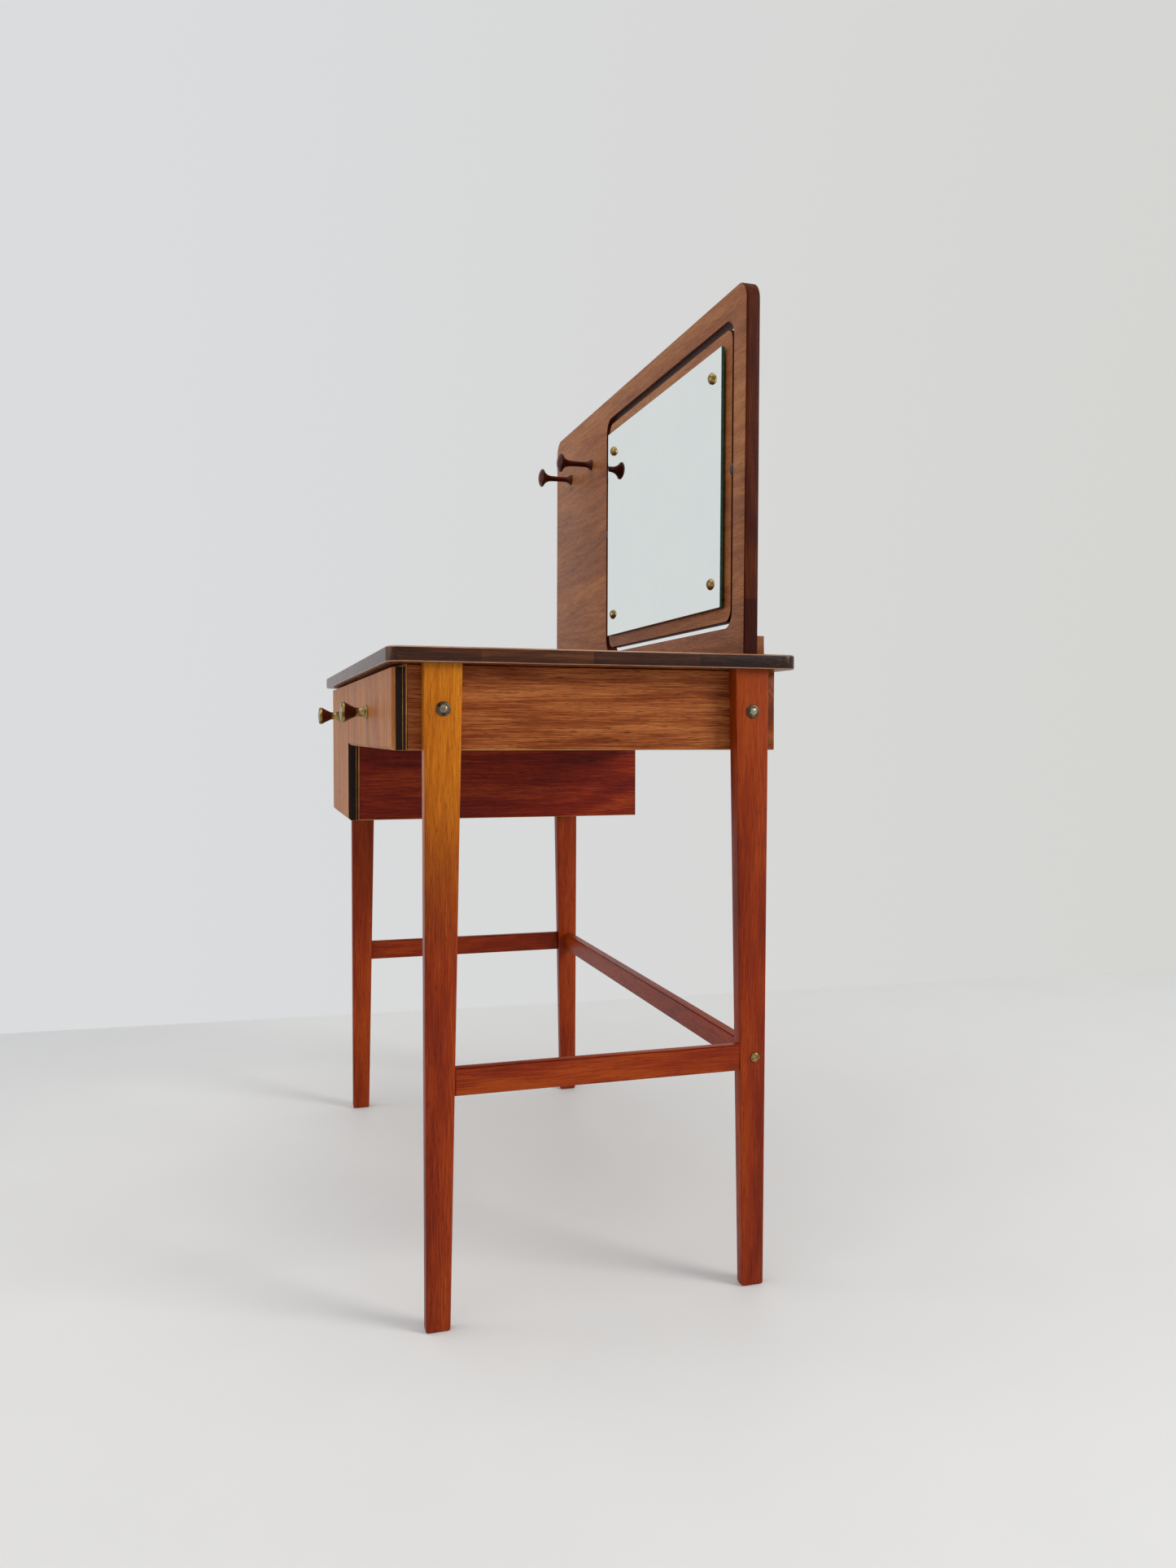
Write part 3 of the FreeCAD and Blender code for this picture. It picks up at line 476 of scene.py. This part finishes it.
# Dark end grain of the drawer fronts, painted nearly black as shade as well.
dark_end_and_shade = wood("dark_end_grain_and_shade", ("#0E0604", "#1E0D07", "#32170C"), "z", 16, roughness=0.35)
edge_highlight = wood("pale_edge_highlight", PALE_EDGE_HIGHLIGHT, "y", 15, roughness=0.6)
# Rosewood turned and polished: near black red, with the only sharp shine on the wood.
turned_rosewood = wood("turned_rosewood", ("#240606", "#50120D", "#742414"), "y", 3,
                       roughness=0.2, gloss_level=0.5)
# Teak turned for the pegs, stained dark and left dull.
turned_teak = wood("turned_teak", ("#220A05", "#441608", "#64260F"), "y", 5, roughness=0.3)
# Cast brass turned on a lathe, gone olive brown where nobody touches it.
brass = metal("turned_brass_tarnished", "#A88E5C", "#5E4A24", 0.26, 6)
# Pressed brass washers, nearly black with age.
brass_dark = metal("pressed_brass_dark", "#665B4A", "#2A231B", 0.4, 6)
# Nickel-plated screws whose plating is worn to a warm grey.
nickel = metal("turned_nickel_worn", "#9C9480", "#6A604E", 0.36, 9)
# Plain rolled steel wire, for the screws and pins that don't show.
steel = metal("plain_steel", "#9A9A98", "#6C6A66", 0.38, 5)
# The face and the ground edge of the same sheet.
mirror_face = silvered_glass()
glass_edge = ground_glass_edge()
# Pressed wool felt between glass and board: soft, matt and dark.
felt = fibrous("brown_felt", "#15110E", "#2E2620", 1.2, 0.9)
# Vulcanised fibre washers at the pivots: hard, black and slightly waxy.
fibre = fibrous("vulcanised_fibre", "#0C0908", "#1D1613", 2.0, 0.5)


# ---- Top --------------------------------------------------------------------------

def make_top():
    """A veneered field inside a solid strip that runs round all four edges."""
    low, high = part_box("table_top")
    outline = rounded_rectangle(low[:2], high[:2], [TOP_CORNER] * 4)
    inner = inset(outline, LIPPING)
    mesh = bmesh.new()
    rings = [ring(mesh, inset(inner, SEAM), low[2] + SEAM, "z"), ring(mesh, inner, low[2], "z")]
    rings += [ring(mesh, inset(outline, back), low[2] + down, "z")
              for back, down in quarter_round(TOP_EASE * 0.8)]
    rings += [ring(mesh, inset(outline, back), high[2] - down, "z")
              for back, down in reversed(quarter_round(TOP_EASE))]
    rings += [ring(mesh, inner, high[2], "z"), ring(mesh, inset(inner, SEAM), high[2] - SEAM, "z")]
    for lower, upper in zip(rings, rings[1:] + rings[:1]):
        bridge(mesh, lower, upper)
    piece = piece_from("top_lipping", mesh, lipping_y, "table_top")
    # The parts of the rounded edge that look partly up or down take the pale tones: painted highlight.
    piece.data.materials.append(top_edge_highlight)
    for polygon in piece.data.polygons:
        if EDGE_HIGHLIGHT_SLOPE[0] < abs(polygon.normal.z) < EDGE_HIGHLIGHT_SLOPE[1]:
            polygon.material_index = 1
    board("top_field", "table_top", inset(inner, SEAM * 0.2), [], "z", (low[2], high[2]), SEAM,
          veneer("x", 1, roughness=0.42))


# ---- Case -------------------------------------------------------------------------

def make_case():
    # The end panels' and the divider's eased edges take the pale tones: painted highlight.
    plain_board("end_panel_right", "x", veneer("y", 2), 1.5 * MM, edge=edge_highlight)
    plain_board("end_panel_left", "x", veneer("y", 4), 1.5 * MM, edge=edge_highlight)
    # The divider takes the darker red tones: painted shade.
    plain_board("divider", "x", veneer("y", 7, SHADE_PAINTED_RED), 1.5 * MM, edge=edge_highlight)
    plain_board("back_board", "y", veneer("x", 6), 1.6 * MM)
    plain_board("housing_back", "y", veneer("x", 8), 1.6 * MM)
    plain_board("case_bottom", "z", veneer("x", 9))
    plain_board("housing_bottom", "z", veneer("x", 10))
    rails = wood("planed_beech_x", BEECH, "x", 12, roughness=0.6)
    strips = wood("planed_beech_y", BEECH, "y", 13, roughness=0.6)
    for bay in ("wide", "deep"):
        plain_board("front_rail_" + bay, "z", rails)
        frame["nodes"]["kickers_" + bay].data.materials[0] = strips
    frame["nodes"]["stretcher_dowels"].data.materials[0] = strips


# ---- Legs and stretchers ----------------------------------------------------------

def leg_box(node, height, tolerance):
    """The lowest and highest corner of a leg's section near a height."""
    corners = [vertex.co for vertex in frame["nodes"][node].data.vertices
               if abs(vertex.co.z - height) < tolerance]
    return [[pick(corner[i] for corner in corners) for i in (0, 1)] for pick in (min, max)]


def make_leg(node, seed, faded):
    """A tapered leg with rounded arrises and a rounded foot."""
    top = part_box(node)[1][2]
    foot = leg_box(node, FOOT_EASE, 0.2 * MM)
    head = leg_box(node, top, 0.2 * MM)
    mesh = bmesh.new()
    rings = []
    levels = [(down, back) for back, down in quarter_round(FOOT_EASE)]
    levels += [(top * share, 0) for share in (0.2, 0.4, 0.6, 0.8, 1)]
    for height, back in levels:
        share = height / top
        low = [foot[0][i] + (head[0][i] - foot[0][i]) * share + back for i in (0, 1)]
        high = [foot[1][i] + (head[1][i] - foot[1][i]) * share - back for i in (0, 1)]
        outline = rounded_rectangle(low, high, [SOLID_EASE] * 4, ROUND_STEPS)
        rings.append(ring(mesh, outline, height, "z"))
    for lower, upper in zip(rings, rings[1:]):
        bridge(mesh, lower, upper)
    mesh.faces.new(rings[0])
    mesh.faces.new(rings[-1])
    piece_from(node + "_tapered", mesh, solid_teak("z", seed, faded=faded), node)


def make_legs():
    # The upper part of each leg is blended towards amber, most on the front right leg: painted
    # highlight where the light falls.
    make_leg("leg_front_right", 20, (0.36, 0.64, 1.0, PAINTED_HIGHLIGHT_AMBER))
    make_leg("leg_back_right", 21, (0.3, 0.8, 0.06, PAINTED_HIGHLIGHT_AMBER))
    make_leg("leg_front_left", 22, (0.3, 0.8, 0.1, PAINTED_HIGHLIGHT_AMBER))
    make_leg("leg_back_left", 23, (0.3, 0.8, 0.15, PAINTED_HIGHLIGHT_AMBER))
    plain_board("side_stretcher_right", "x", solid_teak("y", 24), 1.2 * MM)
    plain_board("side_stretcher_left", "x", solid_teak("y", 25), 1.2 * MM)
    plain_board("back_stretcher", "y", solid_teak("x", 26), 1.2 * MM)


# ---- Drawers ----------------------------------------------------------------------

def make_front(drawer, outer_right, seed):
    """A drawer front with a bevel along its lower edge and its outer end.

    Its ends are dark end grain, painted nearly black as shade, apart from one pale line that is a
    painted highlight.
    """
    node = drawer + "_front"
    low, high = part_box(node)
    face, back = low[1], high[1]
    soft = 0.5 * MM
    left_cut = soft if outer_right else FACE_BEVEL
    right_cut = FACE_BEVEL if outer_right else soft

    def outline(share, around=0.0):
        return rounded_rectangle(
            (low[0] + left_cut * share + around, low[2] + FACE_BEVEL * share + around),
            (high[0] - right_cut * share - around, high[2] - soft * share - around),
            [0.6 * MM] * 4, ROUND_STEPS)

    levels = ((back, 0, 0.3 * MM), (back - 0.6 * MM, 0, 0), (back - HIGHLIGHT_LINE_SET_BACK, 0, 0),
              (back - HIGHLIGHT_LINE_SET_BACK - LINE_WIDTH, 0, 0), (face + FACE_BEVEL, 0, 0),
              (face + FACE_BEVEL * 0.85, BEVEL_ROUND, 0),
              (face + FACE_BEVEL * BEVEL_ROUND, 0.9, 0), (face, 1, 0))
    mesh = bmesh.new()
    rings = [ring(mesh, outline(share, around), level, "y") for level, share, around in levels]
    for lower, upper in zip(rings, rings[1:]):
        bridge(mesh, lower, upper)
    mesh.faces.new(rings[0])
    mesh.faces.new(rings[-1])
    piece = piece_from(node + "_bevelled", mesh, wood(
        "teak_front_%d" % seed, PALE_VENEER, "z", seed, roughness=0.46, figure=0.6), node, 25)
    piece.data.materials.append(dark_end_and_shade)
    piece.data.materials.append(edge_highlight)
    # The ends are painted nearly black as shade; one pale line across them is a painted highlight.
    for polygon in piece.data.polygons:
        if abs(polygon.normal.x) > 0.9:
            level = back - polygon.center.y
            on_line = HIGHLIGHT_LINE_SET_BACK < level < HIGHLIGHT_LINE_SET_BACK + LINE_WIDTH
            polygon.material_index = 2 if on_line else 1


def make_knob(drawer):
    """Flared brass stem, rosewood cone and a brass cap with a rolled rim."""
    stem_low, stem_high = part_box(drawer + "_knob_stem")
    cone_low, cone_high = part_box(drawer + "_knob_cone")
    cap_low, cap_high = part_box(drawer + "_knob_cap")
    forward = (0, -1, 0)
    middle = ((stem_low[0] + stem_high[0]) / 2, (stem_low[2] + stem_high[2]) / 2)

    def foot(level):
        return middle[0], level, middle[1]

    base = (stem_high[0] - stem_low[0]) / 2
    length = stem_high[1] - stem_low[1]
    waist = base * STEM_WAIST
    profile = [(base - 0.5 * MM, 0), (base, 0.4 * MM), (base, 1.0 * MM), (base - 0.4 * MM, 1.5 * MM)]
    profile += bow((base - 0.6 * MM, 1.9 * MM), (waist, length), 1.3 * MM)
    turned(drawer + "_brass_stem", drawer + "_knob_stem", profile, foot(stem_high[1]), forward, brass)

    rim = (cone_high[0] - cone_low[0]) / 2
    length = cone_high[1] - cone_low[1]
    profile = [(waist - 0.3 * MM, 0), (waist, 0.3 * MM)]
    profile += bow((waist + 0.2 * MM, 0.6 * MM), (rim - 0.4 * MM, length - 0.8 * MM), 0.2 * MM)
    profile += [(rim, length - 0.3 * MM), (rim, length)]
    turned(drawer + "_wood_cone", drawer + "_knob_cone", profile, foot(cone_high[1]), forward,
           turned_rosewood)

    rim = (cap_high[0] - cap_low[0]) / 2
    length = cap_high[1] - cap_low[1]
    profile = [(rim - 0.5 * MM, 0), (rim - 0.1 * MM, 0.3 * MM), (rim, 0.8 * MM),
               (rim, length * 0.42), (rim * 0.985, length * 0.6), (rim * 0.94, length * 0.76),
               (rim * 0.87, length * 0.86), (rim * 0.8, length * 0.89)]
    profile += bow((rim * 0.76, length * 0.88), (0, length), -0.35 * MM)
    turned(drawer + "_brass_cap", drawer + "_knob_cap", profile, foot(cap_high[1]), forward, brass)


def make_drawers():
    sides = wood("planed_birch_y", BEECH, "y", 31, roughness=0.55)
    backs = wood("planed_birch_x", BEECH, "x", 32, roughness=0.55)
    sheet = wood("birch_plywood_x", SHEET, "x", 33, roughness=0.6, figure=1.2)
    for drawer, outer_right, seed in (("wide_drawer", True, 41), ("deep_drawer", False, 43)):
        make_front(drawer, outer_right, seed)
        make_knob(drawer)
        plain_board(drawer + "_side_left", "x", sides)
        plain_board(drawer + "_side_right", "x", sides)
        plain_board(drawer + "_back", "y", backs)
        plain_board(drawer + "_bottom", "z", sheet, 0.3 * MM)
        frame["nodes"][drawer + "_knob_screw"].data.materials[0] = steel


# ---- Mirror panel, pegs and mirror ------------------------------------------------

def make_panel():
    """The upright panel with its rounded opening, and the batten behind its foot."""
    low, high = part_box("mirror_panel")
    tilt_low, tilt_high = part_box("mirror_board")
    gap = (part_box("pivot_washers")[1][0] - tilt_high[0]) + 0.3 * MM
    outline = rounded_rectangle((low[0], low[2]), (high[0], high[2]),
                                [0.4 * MM, 0.4 * MM, PANEL_CORNER, PANEL_CORNER])
    opening = rounded_rectangle((tilt_low[0] - gap, tilt_low[2] - gap),
                                (tilt_high[0] + gap, tilt_high[2] + gap), [OPENING_CORNER] * 4)
    board("mirror_panel_board", "mirror_panel", outline, [opening], "y", (low[1], high[1]),
          1.5 * MM, wood("teak_panel", PANEL_VENEER, "x", 51, roughness=0.44, figure=0.45),
          lipping_z)
    plain_board("panel_cleat", "y", wood("sawn_teak_cleat", PANEL_VENEER, "x", 52), 1.5 * MM)


def make_pegs():
    """Two turned pegs: a flared foot, a slim stem and a trumpet head with a domed end."""
    for node in ("peg_right", "peg_left"):
        low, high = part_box(node)
        head = (high[0] - low[0]) / 2
        length = high[1] - low[1]
        stem = head * PEG_STEM
        profile = [(head * 0.55, 0), (head * 0.57, 0.4 * MM), (head * 0.56, 1.4 * MM)]
        profile += bow((head * 0.52, 2.4 * MM), (stem, length * 0.24), 1.2 * MM)
        profile += bow((stem, length * 0.28), (stem * 1.05, length * 0.56), 0.1 * MM, 4)
        profile += bow((stem * 1.1, length * 0.6), (head * 0.93, length * 0.865), 2.6 * MM, 14)
        profile += [(head * 0.985, length * 0.885), (head, length * 0.905),
                    (head * 0.97, length * 0.925)]
        profile += bow((head * 0.9, length * 0.94), (0, length), -0.9 * MM, 12)
        foot = ((low[0] + high[0]) / 2, high[1], (low[2] + high[2]) / 2)
        turned(node + "_turned", node, profile, foot, (0, -1, 0), turned_teak)


def make_mirror():
    """The tilting board, the glass with its green edge, and the pivots' washers."""
    low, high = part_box("mirror_board")
    outline = rounded_rectangle((low[0], low[2]), (high[0], high[2]), [TILT_CORNER] * 4)
    board("mirror_board_panel", "mirror_board", outline, [], "y", (low[1], high[1]), 1.2 * MM,
          wood("teak_tilting_board", PANEL_VENEER, "x", 53, roughness=0.44, figure=0.45), lipping_z)

    low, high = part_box("mirror_glass")
    outline = rounded_rectangle((low[0], low[2]), (high[0], high[2]), [1.5 * MM] * 4, ROUND_STEPS)
    glass = board("mirror_glass_sheet", "mirror_glass", outline, [], "y", (low[1], high[1]),
                  GLASS_BEVEL, mirror_face)
    glass.data.materials.append(glass_edge)
    for face in glass.data.polygons:
        if abs(face.normal.y) < 0.9:
            face.material_index = 1

    low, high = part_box("pivot_washers")
    middle = ((low[1] + high[1]) / 2, (low[2] + high[2]) / 2)
    radius = (high[2] - low[2]) / 2
    board_low, board_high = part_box("mirror_board")
    length = high[0] - board_high[0]
    profile = [(radius - 0.8 * MM, 0), (radius, 0.8 * MM), (radius, length - 0.8 * MM),
               (radius - 0.8 * MM, length)]
    for name, start, outward in (("right", board_high[0], 1), ("left", board_low[0], -1)):
        turned("pivot_washer_" + name, "pivot_washers", profile, (start, *middle), (outward, 0, 0),
               fibre)


# ---- Fittings left as they are in the frame ---------------------------------------

def slotted_screw(name, node, centre, direction, radius, height, slot, angle, material):
    """A screw head: a low dome with a sunk slot across it, turned by an angle."""
    mesh = bmesh.new()
    rings = []
    steps = 48
    for reach, level in ((radius * 0.96, 0), (radius, height * 0.12), (radius, height * 0.3),
                         (radius * 0.96, height * 0.5), (radius * 0.8, height * 0.78),
                         (radius * 0.5, height * 0.94), (radius * 0.2, height)):
        rings.append([mesh.verts.new((reach * math.cos(math.tau * step / steps),
                                      reach * math.sin(math.tau * step / steps), level))
                      for step in range(steps)])
    for lower, upper in zip(rings, rings[1:]):
        bridge(mesh, lower, upper)
    mesh.faces.new(rings[0])
    mesh.faces.new(rings[-1])
    bmesh.ops.recalc_face_normals(mesh, faces=mesh.faces)
    width, depth = slot
    for offset in (-width / 2, width / 2):
        bmesh.ops.bisect_plane(mesh, geom=mesh.verts[:] + mesh.edges[:] + mesh.faces[:],
                               plane_co=(offset, 0, 0), plane_no=(1, 0, 0), dist=1e-7)
    sunk = [face for face in mesh.faces
            if abs(face.calc_center_median().x) < width / 2 and face.normal.z > 0.2]
    walls = bmesh.ops.extrude_face_region(mesh, geom=sunk)["geom"]
    for vertex in [item for item in walls if isinstance(item, bmesh.types.BMVert)]:
        vertex.co.z = max(height - depth, height * 0.1)
    bmesh.ops.delete(mesh, geom=sunk, context="FACES")
    turn = Vector((0, 0, 1)).rotation_difference(Vector(direction)).to_matrix()
    spin = Matrix.Rotation(math.radians(angle), 3, "Z")
    for vertex in mesh.verts:
        vertex.co = Vector(centre) + turn @ (spin @ vertex.co)
    piece_from(name, mesh, material, node, 30)


def groups(node, gap=4 * MM):
    """The boxes of the separate solids in a node, each as its low and high corner."""
    mesh = bmesh.new()
    mesh.from_mesh(frame["nodes"][node].data)
    bmesh.ops.remove_doubles(mesh, verts=mesh.verts, dist=1e-6)
    left = set(mesh.verts)
    boxes = []
    while left:
        reached = [left.pop()]
        island = []
        while reached:
            vertex = reached.pop()
            island.append(vertex.co.copy())
            for edge in vertex.link_edges:
                other = edge.other_vert(vertex)
                if other in left:
                    left.remove(other)
                    reached.append(other)
        boxes.append([[pick(co[i] for co in island) for i in range(3)] for pick in (min, max)])
    mesh.free()
    return sorted(boxes)


def make_screws():
    """The slotted heads on the outside of the legs, each turned as it was left."""
    for node, material, share, turns in (("leg_screws", nickel, 0.86, (35, 150, 62, 20)),
                                         ("stretcher_screws", brass, 1.0, (80, 15))):
        for index, (low, high) in enumerate(groups(node)):
            outward = math.copysign(1, low[0])
            radius = (high[1] - low[1]) / 2
            tip = high[0] if outward > 0 else low[0]
            centre = (tip - outward * SCREW_HEAD, (low[1] + high[1]) / 2, (low[2] + high[2]) / 2)
            slotted_screw("%s_%d" % (node, index), node, centre, (outward, 0, 0), radius * share,
                          SCREW_HEAD, SLOT, turns[index % len(turns)], material)


def finish_fittings():
    finishes = {
        "leg_washers": brass_dark, "glass_screws": brass, "top_screws": steel,
        "cleat_screws": steel, "peg_screws": steel,
        "pivot_pins": steel, "glass_pads": felt,
    }
    for node, material in finishes.items():
        frame["nodes"][node].data.materials[0] = material


# ---- Floor, light and camera ------------------------------------------------------

def make_floor():
    """A pale painted floor with a faint shine, which ends where the far wall would stand."""
    mesh = bmesh.new()
    mesh.faces.new([mesh.verts.new((x, y, 0)) for x, y in FLOOR_CORNERS])
    floor_mesh = bpy.data.meshes.new("floor")
    mesh.to_mesh(floor_mesh)
    mesh.free()
    floor = bpy.data.objects.new("floor", floor_mesh)
    bpy.context.scene.collection.objects.link(floor)

    material, tree, shader = blank("painted_floor")
    place = add(tree, "ShaderNodeTexCoord").outputs["Object"]
    scuffs = add(tree, "ShaderNodeTexNoise", {"Vector": place, "Scale": 5.0, "Detail": 6.0})
    tint = add(tree, "ShaderNodeMix", {
        "Factor": scuffs.outputs["Fac"], "A": linear("#D8D9D9"), "B": linear("#DEDFDF")},
        data_type="RGBA")
    gloss = add(tree, "ShaderNodeMapRange", {
        "Value": scuffs.outputs["Fac"], "To Min": 0.42, "To Max": 0.58})
    tree.links.new(tint.outputs["Result"], shader.inputs["Base Color"])
    tree.links.new(gloss.outputs["Result"], shader.inputs["Roughness"])
    shader.inputs["Specular IOR Level"].default_value = 0.1
    floor_mesh.materials.append(material)


def make_world():
    """A pale room: what the camera and the glossy surfaces see, and a softer fill light."""
    world = bpy.data.worlds.new("pale_room")
    bpy.context.scene.world = world
    world.use_nodes = True
    tree = world.node_tree
    rays = add(tree, "ShaderNodeLightPath")
    seen = add(tree, "ShaderNodeMath", {
        0: rays.outputs["Is Camera Ray"], 1: rays.outputs["Is Glossy Ray"]}, operation="MAXIMUM")
    seen = add(tree, "ShaderNodeMath", {
        0: seen.outputs[0], 1: rays.outputs["Is Transmission Ray"]}, operation="MAXIMUM")
    towards = add(tree, "ShaderNodeTexCoord").outputs["Generated"]
    side = add(tree, "ShaderNodeSeparateXYZ", {"Vector": towards}).outputs["Y"]
    side = add(tree, "ShaderNodeMapRange", {"Value": side, "From Min": -0.1, "From Max": 0.7})
    walls = add(tree, "ShaderNodeMix", {
        "Factor": side.outputs["Result"], "A": linear("#DBDCDE"), "B": linear("#D5D5D2")},
        data_type="RGBA")
    room = add(tree, "ShaderNodeBackground", {"Color": walls.outputs["Result"], "Strength": 1.0})
    fill = add(tree, "ShaderNodeBackground", {"Color": linear("#F4F5F6"), "Strength": 0.64})
    mix = add(tree, "ShaderNodeMixShader", {
        0: seen.outputs[0], 1: fill.outputs["Background"], 2: room.outputs["Background"]})
    tree.links.new(mix.outputs["Shader"], tree.nodes["World Output"].inputs["Surface"])


def make_lamp(name, place, target, size, power, tint):
    lamp = bpy.data.lights.new(name, "AREA")
    lamp.shape = "DISK"
    lamp.size = size
    lamp.energy = power
    lamp.color = linear(tint)[:3]
    holder = bpy.data.objects.new(name, lamp)
    holder.location = place
    holder.rotation_euler = (Vector(target) - Vector(place)).to_track_quat("-Z", "Y").to_euler()
    bpy.context.scene.collection.objects.link(holder)


def make_camera():
    """Low and close, from the right-hand end, as a person sitting beside the table sees it."""
    camera = bpy.data.cameras.new("camera")
    camera.sensor_fit = "VERTICAL"
    camera.sensor_height = 36.0
    camera.sensor_width = 36.0
    camera.lens = 26.372
    camera.shift_x = 0.0016
    camera.shift_y = -0.0026
    holder = bpy.data.objects.new("camera", camera)
    yaw, pitch, roll = (math.radians(angle) for angle in (17.063, 2.369, 0.169))
    forward = Vector((-math.cos(yaw) * math.cos(pitch), math.sin(yaw) * math.cos(pitch),
                      -math.sin(pitch)))
    right = Vector((math.sin(yaw), math.cos(yaw), 0))
    up = right.cross(forward)
    turned_right = right * math.cos(roll) + up * math.sin(roll)
    turned_up = up * math.cos(roll) - right * math.sin(roll)
    holder.matrix_world = Matrix.Translation((1.5195, -0.3569, 0.6148)) @ Matrix(
        (turned_right, turned_up, -forward)).transposed().to_4x4()
    bpy.context.scene.collection.objects.link(holder)
    bpy.context.scene.camera = holder


make_top()
make_case()
make_legs()
make_drawers()
make_panel()
make_pegs()
make_mirror()
make_screws()
finish_fittings()
make_floor()
make_world()
make_lamp("window", (3.2, 3.6, 2.6), (0.3, 0.0, 0.6), 2.0, 150, "#FFFAF3")
make_lamp("front", (-0.4, -3.2, 1.5), (0, 0, 0.6), 2.0, 22, "#FFFAF5")
make_lamp("ceiling", (0.4, -0.6, 3.0), (0, 0, 0.5), 2.6, 22, "#FFFFFF")
make_camera()
bpy.context.scene.view_settings.view_transform = "Standard"
